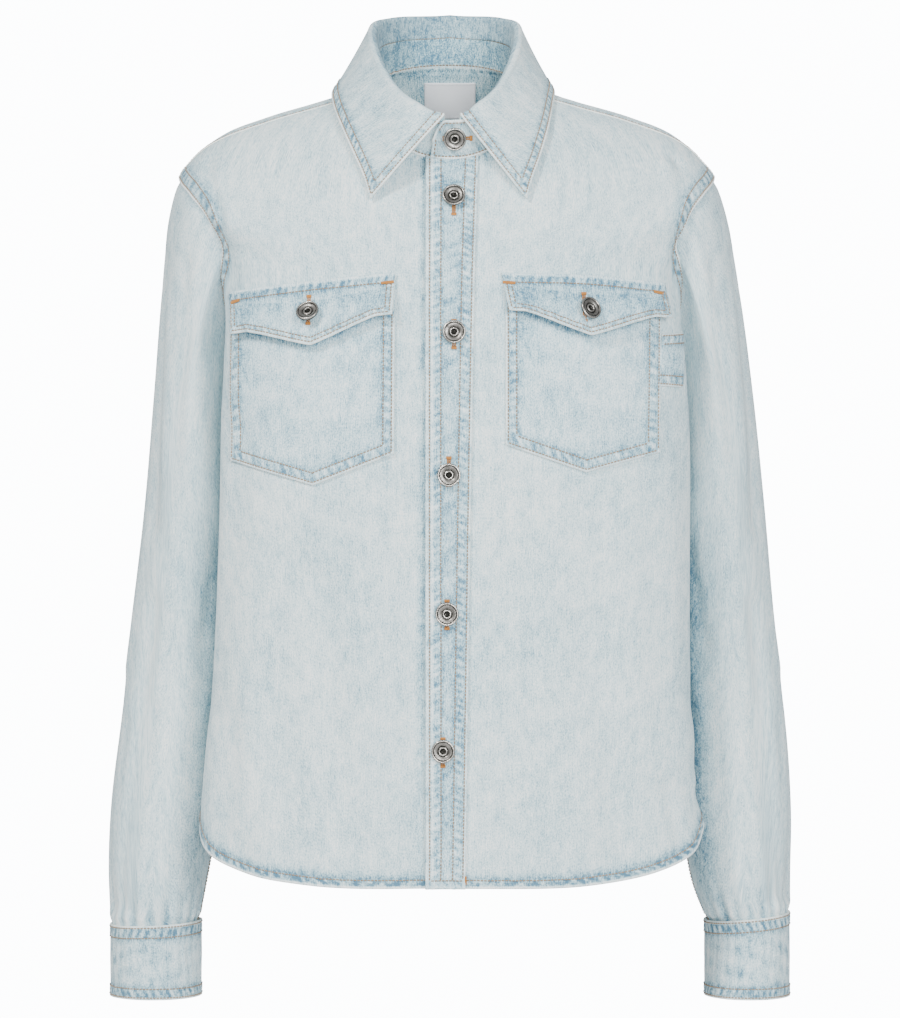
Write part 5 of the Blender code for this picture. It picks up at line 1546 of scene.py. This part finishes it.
def add_button(node, point, normal):
    """A turned metal button with a rolled rim, a dished ring and a small dome in the middle."""
    inner = BUTTON_PROFILE[1:-1]
    corners = [(0.0, 0.0, BUTTON_PROFILE[0][1])]
    for radius, height, _ in inner:
        corners += [(radius * math.cos(turn), radius * math.sin(turn), height)
                    for turn in np.arange(BUTTON_SIDES) * FULL_TURN / BUTTON_SIDES]
    corners.append((0.0, 0.0, BUTTON_PROFILE[-1][1]))
    faces = []
    last = len(corners) - 1
    for column in range(BUTTON_SIDES):
        after = (column + 1) % BUTTON_SIDES
        faces.append((0, 1 + column, 1 + after))
        for ring in range(len(inner) - 1):
            low = 1 + ring * BUTTON_SIDES
            high = low + BUTTON_SIDES
            faces.append((low + column, high + column, high + after, low + after))
        low = 1 + (len(inner) - 1) * BUTTON_SIDES
        faces.append((low + column, last, low + after))
    turned = Vector(normal).to_track_quat("Z", "Y").to_matrix()
    points = np.array(corners) @ np.array(turned).T * BUTTON_SCALE + np.asarray(point)
    piece = build_mesh(f"{node}_metal", points, faces, finishes().metal)
    recess = [BUTTON_PROFILE[0][2]]
    for _, _, dark in inner:
        recess += [dark] * BUTTON_SIDES
    number_line(piece.data, "recess", np.array(recess + [BUTTON_PROFILE[-1][2]]))
    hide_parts(node)


def surface_frame(points):
    """Middle point and normal of a small grid of three by three points."""
    return points[1, 1], grid_normals(points)[1, 1]


def places_round(down, right, down_step, right_step):
    """Three by three places round one, in steps that go down and to the right."""
    steps = np.array([-1.0, 0.0, 1.0])
    return grid_of(down + steps * down_step, right + steps * right_step)


def front_spot(x, z, lift):
    """A point this far off the front's cloth, and the normal there."""
    grid_z, grid_x = places_round(z, x, -6.0, 6.0)
    return surface_frame(on_front(grid_x, grid_z, np.full(grid_x.shape, lift)))


def buttonhole(point, normal, along):
    """Two lips of close bars with a tack at each end."""
    along = np.asarray(along, dtype=float)
    along = unit(along - normal * (along @ normal))
    lips = bars_of(point, normal, along, HOLE_LENGTH, LIP_WIDTH, rows=2, spacing=LIP_SPACING)
    across = np.cross(normal, along)
    ends = [point + normal * TACK_LIFT + along * end * HOLE_LENGTH / 2.0 for end in (-1.0, 1.0)]
    tacks = [bars_of(end, normal, across, HOLE_TACK, BAR_WIDTH, pitch=TACK_PITCH) for end in ends]
    return join_bars([lips] + tacks)


def make_buttons():
    """Metal buttons on the closure, the flaps, the stand and the cuffs, with their holes."""
    band_face = LAY_GAP + BAND_WALL
    flap_face = 2.0 * (LAY_GAP + STRIP_WALL) + FLAP_CLIMB + FLAP_BUTTON_PROUD
    holes = []
    for place, (x, z, shift) in enumerate(BAND_BUTTONS, start=1):
        add_button(f"button_placket_{place}", *front_spot(x, z, band_face + BUTTON_LIFT))
        holes.append(buttonhole(*front_spot(x, z + shift, band_face + HOLE_LIFT), UPRIGHT))
    for side, (x, z, shift, aside, lean) in FLAP_BUTTONS.items():
        point, normal = front_spot(x, z, flap_face + BUTTON_LIFT)
        normal = unit(normal + np.array((lean[0], 0.0, lean[1])))
        add_button(f"button_flap_{side}", point + normal * 2.0 * math.hypot(*lean), normal)
        holes.append(buttonhole(*front_spot(x + aside, z + shift, flap_face + HOLE_LIFT), UPRIGHT))
    share, turn = places_round(STAND_BUTTON[1], STAND_BUTTON[0], -0.15, 0.06)
    point, normal = surface_frame(stand_surface(turn, share))
    add_button("button_collar", point + normal * COLLAR_BUTTON_LIFT, normal)
    point, normal = surface_frame(stand_surface(turn + STAND_HOLE_TURN, share))
    holes.append(buttonhole(point + normal * HOLE_LIFT, normal, LEVEL))
    for side, name in SIDE_NAMES.items():
        share, turn = places_round(CUFF_BUTTON_HEIGHT, CUFF_LAP_ANGLE - CUFF_LAP / 2.0, 0.1, 0.08)
        point, normal = surface_frame(cuff_surface(side, turn, share, CUFF_PROUD + CUFF_LAP_LIFT))
        normal = normal * -side
        add_button(f"button_cuff_{name}", point + normal * COLLAR_BUTTON_LIFT, normal)
        holes.append(buttonhole(point + normal * CUFF_HOLE_LIFT, normal, LEVEL))
    add_capsules("buttonholes", *join_bars(holes), BAR_RADIUS, finishes().tack)


def make_bar_tacks():
    """Close bars where the flaps' ends and the closure's foot take the strain."""
    tacks = []
    for sizes in FLAPS.values():
        slope = np.array(sizes["outer"]) - np.array(sizes["inner"])
        along = np.array((slope[0], 0.0, slope[1])) / math.hypot(*slope)
        for end, inwards in (("inner", 1.0), ("outer", -1.0)):
            x, z = sizes[end]
            x += math.copysign(1.0, x) * inwards * FLAP_TACK_IN
            point, normal = front_spot(x, z - FLAP_TACK_DOWN, LAY_GAP + STRIP_WALL + FLAP_TACK_LIFT)
            tacks.append(bars_of(point, normal, along, BAR_LENGTH, BAR_WIDTH, pitch=TACK_PITCH))
    point, normal = front_spot(BAND_HEM_EDGE + FOOT_TACK_IN, FOOT_TACK_Z,
                               LAY_GAP + BAND_WALL + FOOT_TACK_LIFT)
    tacks.append(bars_of(point, normal, np.array(UPRIGHT), FOOT_TACK_LENGTH, FOOT_TACK_WIDTH,
                         pitch=FOOT_TACK_PITCH))
    add_capsules("bar_tacks", *join_bars(tacks), BAR_RADIUS, finishes().tack)


# ---------------------------------------------------------------- finishes

class Signal:
    """A shader socket; sums and products with it add Math nodes."""

    def __init__(self, graph, socket):
        self.graph = graph
        self.socket = socket

    def __add__(self, other):
        return self.graph.sum_of("ADD", self, other)

    def __sub__(self, other):
        return self.graph.sum_of("SUBTRACT", self, other)

    def __rsub__(self, other):
        return self.graph.sum_of("SUBTRACT", other, self)

    def __mul__(self, other):
        return self.graph.sum_of("MULTIPLY", self, other)

    __radd__ = __add__
    __rmul__ = __mul__


class Graph:
    """The nodes of one material or of the world."""

    def __init__(self, tree):
        self.tree = tree
        tree.nodes.clear()

    def add(self, kind, settings=None, sockets=None, output=0):
        """One node: its settings and ramp stops first, then the values and links of its sockets."""
        node = self.tree.nodes.new(kind)
        for key, value in (settings or {}).items():
            if key == "stops":
                self.set_stops(node.color_ramp, value)
            else:
                setattr(node, key, value)
        for key, value in (sockets or {}).items():
            if isinstance(value, Signal):
                self.tree.links.new(value.socket, node.inputs[key])
            else:
                node.inputs[key].default_value = value
        return Signal(self, node.outputs[output]) if node.outputs else None

    @staticmethod
    def set_stops(ramp, stops):
        while len(ramp.elements) < len(stops):
            ramp.elements.new(1.0)
        for element, (place, colour) in zip(ramp.elements, stops):
            element.position = place
            element.color = (*colour, 1.0)

    def sum_of(self, operation, one, other):
        return self.add("ShaderNodeMath", {"operation": operation}, {0: one, 1: other})

    def clamped(self, value):
        return self.add("ShaderNodeClamp", None, {"Value": value})

    def layer(self, name):
        """A number that is kept on the mesh."""
        return self.add("ShaderNodeAttribute", {"attribute_name": name}, output="Fac")

    def mix(self, share, one, other, blend="MIX"):
        """One colour towards another."""
        return self.add("ShaderNodeMix", {"data_type": "RGBA", "blend_type": blend},
                        {0: share, 6: one, 7: other}, output=2)

    def bump(self, height, distance, strength=0.4):
        return self.add("ShaderNodeBump", None,
                        {"Strength": strength, "Distance": distance, "Height": height})

    def scaled(self, place, size):
        """A place on the cloth in units of this width and length in millimetres."""
        factors = (1.0 / (size[0] * MM), 1.0 / (size[1] * MM), 1.0)
        return self.add("ShaderNodeVectorMath", {"operation": "MULTIPLY"}, {0: place, 1: factors})

    def noise(self, place, size, detail=2.0, rough=0.5):
        """Cloudy number round one half, at this width and length in millimetres."""
        return self.add("ShaderNodeTexNoise", {"noise_dimensions": "2D"},
                        {"Vector": self.scaled(place, size), "Scale": 1.0, "Detail": detail,
                         "Roughness": rough})


def new_material(name):
    material = bpy.data.materials.new(name)
    material.use_nodes = True
    return material, Graph(material.node_tree)


def finish_surface(graph, sockets):
    shader = graph.add("ShaderNodeBsdfPrincipled", None, sockets)
    graph.add("ShaderNodeOutputMaterial", None, {"Surface": shader})


# Patterns of the denim: width and length in millimetres, detail, roughness, and how far each
# moves the cloth between deep blue at 0 and worn at 1
PATTERNS = {
    "clouds": ((70.0, 105.0), 2.0, 0.5, 0.34),
    "mottle": ((10.0, 15.0), 3.0, 0.6, 0.58),
    "streaks": ((2.6, 42.0), 3.0, 0.6, 0.26),
    "slubs": ((0.8, 7.0), 3.0, 0.65, 0.80),
    "grain": ((1.0, 1.5), 3.0, 0.75, 1.40),
}
PLAIN_SHADE = 0.62
BLUE_PLACE, PALE_PLACE = 0.32, 0.60
WEAR_RISE = 0.34
# Where a seam is blue, it is uneven: the patches' size, their level and contrast, and how far
# the cloth goes towards blue without them and with them
PATCH_SIZE = (3.4, 4.4)
PATCH_LEVEL, PATCH_CONTRAST = 0.36, 2.4
BLUE_LEAST, BLUE_SWING = 0.32, 0.42
TWILL_TURN, TWILL_PITCH = 0.55, 1.5
SLUB_RELIEF, GRAIN_RELIEF, TWILL_RELIEF = 0.9, 0.7, 0.35
DENIM_RELIEF = 0.00035


def denim_material(name, tint, lift=0.0, contrast=1.0):
    """Washed denim: pale and blue threads, slubs, blue puckers along seams and worn edges."""
    colours = bpy.context.scene.shirt_colours
    material, graph = new_material(name)
    place = graph.add("ShaderNodeUVMap", {"uv_map": "cut"})
    made = {}
    shade = PLAIN_SHADE + lift
    for pattern, (size, detail, rough, swing) in PATTERNS.items():
        made[pattern] = graph.noise(place, size, detail, rough)
        shade = shade + (made[pattern] - 0.5) * (swing * contrast)
    patches = graph.clamped((graph.noise(place, PATCH_SIZE, 2.0, 0.6) - PATCH_LEVEL) * PATCH_CONTRAST)
    # The blue layer holds less faded dye along seams and painted shade in gaps, grooves and inside the
    # neck; the wear layer holds worn ridges
    blue, wear = graph.layer("blue"), graph.layer("wear")
    shade = shade - blue * (BLUE_LEAST + patches * BLUE_SWING) + wear * WEAR_RISE
    stops = ((0.0, colours.deep), (BLUE_PLACE, colours.blue), (PALE_PLACE, colours.pale),
             (1.0, colours.worn))
    colour = graph.add("ShaderNodeValToRGB", {"stops": stops}, {"Fac": graph.clamped(shade)})
    colour = graph.mix(1.0, colour, (*tint, 1.0), "MULTIPLY")
    turned = graph.add("ShaderNodeMapping", None, {"Vector": place, "Rotation": (0.0, 0.0, TWILL_TURN)})
    twill = graph.add("ShaderNodeTexWave", {"wave_type": "BANDS", "bands_direction": "X"},
                      {"Vector": graph.scaled(turned, (TWILL_PITCH, TWILL_PITCH)), "Scale": 0.35,
                       "Distortion": 1.2, "Detail": 1.0, "Detail Scale": 1.5})
    height = made["slubs"] * SLUB_RELIEF + made["grain"] * GRAIN_RELIEF + twill * TWILL_RELIEF
    finish_surface(graph, {
        "Base Color": colour, "Roughness": 0.88, "Normal": graph.bump(height, DENIM_RELIEF),
        "Sheen Weight": 0.12, "Sheen Roughness": 0.5, "Specular IOR Level": 0.18})
    return material


def thread_material(name, colour, seed):
    """Twisted cotton thread, a little uneven in shade."""
    material, graph = new_material(name)
    place = graph.add("ShaderNodeTexCoord", output="Object")
    shade = graph.add("ShaderNodeTexNoise", {"noise_dimensions": "4D"},
                      {"Vector": place, "W": seed, "Scale": 320.0, "Detail": 2.0})
    mixed = graph.mix(graph.clamped((shade - 0.35) * 1.8), (*(0.72 * part for part in colour), 1.0),
                      (*colour, 1.0))
    finish_surface(graph, {"Base Color": mixed, "Roughness": 0.7, "Normal": graph.bump(shade, 0.0001),
                           "Specular IOR Level": 0.3})
    return material


def metal_material():
    """Old silver: bright where it is rubbed, dark in its recesses."""
    colours = bpy.context.scene.shirt_colours
    material, graph = new_material("old_silver_metal")
    place = graph.add("ShaderNodeTexCoord", output="Object")
    spots = graph.add("ShaderNodeTexNoise", None, {"Vector": place, "Scale": 900.0, "Detail": 3.0})
    patches = graph.add("ShaderNodeTexNoise", None, {"Vector": place, "Scale": 260.0, "Detail": 2.0})
    dark = graph.clamped(graph.layer("recess") * 1.05 + (patches - 0.5) * 0.8 + (spots - 0.5) * 0.9)
    colour = graph.mix(dark, (*colours.metal, 1.0), (*colours.tarnish, 1.0))
    rough = graph.clamped(0.24 + dark * 0.3 + (spots - 0.5) * 0.3)
    finish_surface(graph, {"Base Color": colour, "Roughness": rough, "Metallic": 1.0,
                           "Normal": graph.bump(spots, 0.0001, 0.25)})
    return material


def label_material():
    """Pale woven tape with fine ribs across."""
    colours = bpy.context.scene.shirt_colours
    material, graph = new_material("label_weave")
    place = graph.add("ShaderNodeUVMap", {"uv_map": "cut"})
    ribs = graph.add("ShaderNodeTexWave", {"wave_type": "BANDS", "bands_direction": "Y"},
                     {"Vector": graph.scaled(place, (1.0, 1.0)), "Scale": 0.45, "Distortion": 0.4})
    mottle = graph.noise(place, (3.0, 1.2), 2.0)
    tone = graph.clamped(0.55 + (ribs - 0.5) * 0.3 + (mottle - 0.5) * 0.7)
    colour = graph.mix(tone, (*(0.92 * part for part in colours.label), 1.0), (*colours.label, 1.0))
    finish_surface(graph, {"Base Color": colour, "Roughness": 0.6, "Normal": graph.bump(ribs, 0.0002)})
    return material


class Finishes:
    """Every material of the shirt; each slot of cloth has an outer face, an inner face and an edge."""

    def __init__(self):
        colours = bpy.context.scene.shirt_colours
        outer = denim_material("washed_denim_face", (1.0, 1.0, 1.0))
        # Painted shade: the inner face is a darker, greyer copy of the denim, for the shirt's shaded inside
        inner = denim_material("washed_denim_inside_painted_shade", (0.86, 0.95, 0.97), -0.11, 1.5)
        edge = denim_material("washed_denim_edge", (1.0, 0.99, 0.96), 0.24)
        trim = denim_material("blue_denim_face", (0.97, 1.0, 1.02), -0.07, 1.15)
        thread = thread_material("topstitch_thread", tuple(colours.thread), 1.0)
        self.tack = thread_material("tack_thread", tuple(colours.tack), 2.0)
        label_thread = thread_material("label_thread", tuple(colours.label), 3.0)
        label = label_material()
        self.metal = metal_material()
        self.cloths = {"washed_denim": (outer, inner, edge), "blue_denim": (trim, inner, edge),
                       "label_tape": (label, label, label)}
        self.threads = {"washed_denim": thread, "blue_denim": thread, "label_tape": label_thread}


@cache
def finishes():
    """The shirt's materials, made when the first piece asks for them."""
    return Finishes()


# ---------------------------------------------------------------- stage

CAMERA_HEIGHT = -0.3226
CAMERA_DISTANCE = 3.2
CAMERA_LENS = 146.96
CAMERA_SENSOR = 36.0
CAMERA_REACH = 100.0
CHEST = (0.0, 0.0, -0.3)
MIDDLE = (0.0, 0.0, 0.0)
FLOOR_SIDES = 96


def add_area(name, place, target, size, power, colour):
    light = bpy.data.lights.new(name, "AREA")
    light.shape = "DISK"
    light.size = size
    light.energy = power
    light.color = colour
    lamp = add_object(name, light)
    lamp.location = place
    lamp.rotation_euler = (Vector(target) - Vector(place)).to_track_quat("-Z", "Y").to_euler()


def make_floor(stage):
    mesh = bpy.data.meshes.new("floor")
    corners = [(0.0, 0.0, stage.floor_height)]
    for turn in np.linspace(0.0, FULL_TURN, FLOOR_SIDES + 1)[:-1]:
        corners.append((stage.floor_radius * math.cos(turn), stage.floor_radius * math.sin(turn),
                        stage.floor_height))
    faces = [(0, 1 + step, 1 + (step + 1) % FLOOR_SIDES) for step in range(FLOOR_SIDES)]
    mesh.from_pydata(corners, [], faces)
    material, graph = new_material("studio_floor")
    finish_surface(graph, {"Base Color": (0.82, 0.82, 0.82, 1.0), "Roughness": 0.8})
    mesh.materials.append(material)
    add_object("floor", mesh)


def make_world(stage):
    world = bpy.data.worlds.new("studio")
    world.use_nodes = True
    bpy.context.scene.world = world
    graph = Graph(world.node_tree)
    seen = graph.add("ShaderNodeLightPath", output="Is Camera Ray")
    strength = seen * (stage.backdrop_strength - stage.world_strength) + stage.world_strength
    light = graph.add("ShaderNodeBackground", None, {"Color": (0.94, 0.97, 1.0, 1.0), "Strength": strength})
    graph.add("ShaderNodeOutputWorld", None, {"Surface": light})


def make_stage():
    stage = bpy.context.scene.shirt_stage
    make_floor(stage)
    make_world(stage)
    add_area("key", (-1.9, -2.4, 2.1), CHEST, 0.8, stage.key_power, (1.0, 0.99, 0.97))
    add_area("fill", (1.5, -3.0, 0.6), CHEST, 1.6, stage.fill_power, (0.97, 0.99, 1.0))
    add_area("front", (0.2, -3.4, -0.3), MIDDLE, 0.6, stage.front_power, (1.0, 1.0, 1.0))
    camera = bpy.data.cameras.new("camera")
    camera.lens = CAMERA_LENS
    camera.sensor_width = CAMERA_SENSOR
    camera.clip_end = CAMERA_REACH
    viewer = add_object("camera", camera)
    viewer.location = (0.0, -CAMERA_DISTANCE, CAMERA_HEIGHT)
    viewer.rotation_euler = (HALF_TURN / 2.0, 0.0, 0.0)
    bpy.context.scene.camera = viewer


# ---------------------------------------------------------------- the add-on's sizes and steps

def colour_property(name, description, default):
    return bpy.props.FloatVectorProperty(name=name, description=description, default=default,
                                         subtype="COLOR", size=3, min=0.0, max=1.0)


class ShirtCloth(bpy.types.PropertyGroup):
    stitch_pitch: bpy.props.FloatProperty(
        name="Stitch pitch", description="From the start of one topstitch to the next",
        default=0.0026, unit="LENGTH")
    stitch_gap: bpy.props.FloatProperty(
        name="Stitch gap", description="Between two topstitches", default=0.0003, unit="LENGTH")


class ShirtColours(bpy.types.PropertyGroup):
    deep: colour_property("Deep blue", "Darkest blue of the denim", (0.09, 0.20, 0.29))
    blue: colour_property("Blue", "Blue that the wash has left", (0.31, 0.48, 0.55))
    pale: colour_property("Pale", "Washed face of the denim", (0.57, 0.73, 0.765))
    worn: colour_property("Worn", "Worn and raised places", (0.93, 0.96, 0.94))
    thread: colour_property("Thread", "Tan topstitching", (0.40, 0.29, 0.20))
    tack: colour_property("Tack", "Buttonholes and bar tacks", (0.62, 0.27, 0.07))
    metal: colour_property("Metal", "Rubbed metal of the buttons", (0.42, 0.40, 0.37))
    tarnish: colour_property("Tarnish", "Dark recesses of the buttons", (0.018, 0.018, 0.016))
    label: colour_property("Label", "Tape of the neck label", (0.96, 0.97, 1.0))


class ShirtStage(bpy.types.PropertyGroup):
    floor_height: bpy.props.FloatProperty(
        name="Floor height", description="Height of the floor", default=-1.45, unit="LENGTH")
    floor_radius: bpy.props.FloatProperty(
        name="Floor radius", description="Radius of the round floor", default=2.6, unit="LENGTH")
    world_strength: bpy.props.FloatProperty(
        name="Sky light", description="Soft light from all round", default=0.55)
    backdrop_strength: bpy.props.FloatProperty(
        name="Backdrop", description="How bright the backdrop looks", default=14.0)
    key_power: bpy.props.FloatProperty(
        name="Key light", description="Large soft light from the front and above",
        default=138.0, unit="POWER")
    fill_power: bpy.props.FloatProperty(
        name="Fill light", description="Second soft light", default=95.0, unit="POWER")
    front_power: bpy.props.FloatProperty(
        name="Front light", description="Small light that reaches into the neck",
        default=45.0, unit="POWER")


class ShirtStep:
    """A step of the shirt, which makes its pieces in order."""

    def execute(self, context):
        for make in self.makes:
            make()
        return {"FINISHED"}


class SHIRT_OT_fronts(ShirtStep, bpy.types.Operator):
    """Make both fronts"""
    bl_idname = "shirt.fronts"
    bl_label = "Fronts"
    makes = (make_right_front, make_left_front)


class SHIRT_OT_back(ShirtStep, bpy.types.Operator):
    """Make the back and the yoke"""
    bl_idname = "shirt.back"
    bl_label = "Back and yoke"
    makes = (make_back, make_yoke)


class SHIRT_OT_sleeves(ShirtStep, bpy.types.Operator):
    """Make both sleeves with their cuffs and plackets"""
    bl_idname = "shirt.sleeves"
    bl_label = "Sleeves"
    makes = [partial(make, side, name) for side, name in SIDE_NAMES.items()
             for make in (make_sleeve, make_cuff, make_sleeve_placket)]


class SHIRT_OT_collar(ShirtStep, bpy.types.Operator):
    """Make the collar stand, the leaf and the neck label"""
    bl_idname = "shirt.collar"
    bl_label = "Collar"
    makes = (make_collar_stand, make_collar_leaf, make_neck_label)


class SHIRT_OT_closure(ShirtStep, bpy.types.Operator):
    """Make the placket band down the front"""
    bl_idname = "shirt.closure"
    bl_label = "Placket band"
    makes = (make_placket_band,)


class SHIRT_OT_pockets(ShirtStep, bpy.types.Operator):
    """Make the pockets, their flaps and the loop tab"""
    bl_idname = "shirt.pockets"
    bl_label = "Pockets"
    makes = [partial(make, side) for side in SIDE_NAMES.values() for make in (make_pocket, make_flap)]
    makes.append(make_loop_tab)


class SHIRT_OT_buttons(ShirtStep, bpy.types.Operator):
    """Make the buttons, the buttonholes and the bar tacks"""
    bl_idname = "shirt.buttons"
    bl_label = "Buttons"
    makes = (make_buttons, make_bar_tacks)


class SHIRT_OT_stage(ShirtStep, bpy.types.Operator):
    """Make the floor, the light and the camera"""
    bl_idname = "shirt.stage"
    bl_label = "Stage"
    makes = (make_stage,)


OPERATORS = (SHIRT_OT_fronts, SHIRT_OT_back, SHIRT_OT_sleeves, SHIRT_OT_collar, SHIRT_OT_closure,
             SHIRT_OT_pockets, SHIRT_OT_buttons, SHIRT_OT_stage)


class SHIRT_PT_panel(bpy.types.Panel):
    """Sizes, colours and steps of the shirt"""
    bl_idname = "SHIRT_PT_panel"
    bl_label = "Denim shirt"
    bl_space_type = "VIEW_3D"
    bl_region_type = "UI"
    bl_category = "Shirt"

    def draw(self, context):
        for group in (context.scene.shirt_cloth, context.scene.shirt_colours, context.scene.shirt_stage):
            box = self.layout.box()
            for name in group.__annotations__:
                box.prop(group, name)
        for operator in OPERATORS:
            self.layout.operator(operator.bl_idname)


GROUPS = {"shirt_cloth": ShirtCloth, "shirt_colours": ShirtColours, "shirt_stage": ShirtStage}


def register():
    for group in (*GROUPS.values(), *OPERATORS, SHIRT_PT_panel):
        bpy.utils.register_class(group)
    for name, group in GROUPS.items():
        setattr(bpy.types.Scene, name, bpy.props.PointerProperty(type=group))


def unregister():
    for name in GROUPS:
        delattr(bpy.types.Scene, name)
    for group in (SHIRT_PT_panel, *reversed(OPERATORS), *GROUPS.values()):
        bpy.utils.unregister_class(group)


def main():
    register()
    bpy.ops.shirt.fronts()
    bpy.ops.shirt.back()
    bpy.ops.shirt.sleeves()
    bpy.ops.shirt.collar()
    bpy.ops.shirt.closure()
    bpy.ops.shirt.pockets()
    bpy.ops.shirt.buttons()
    bpy.ops.shirt.stage()


if __name__ == "__main__":
    main()
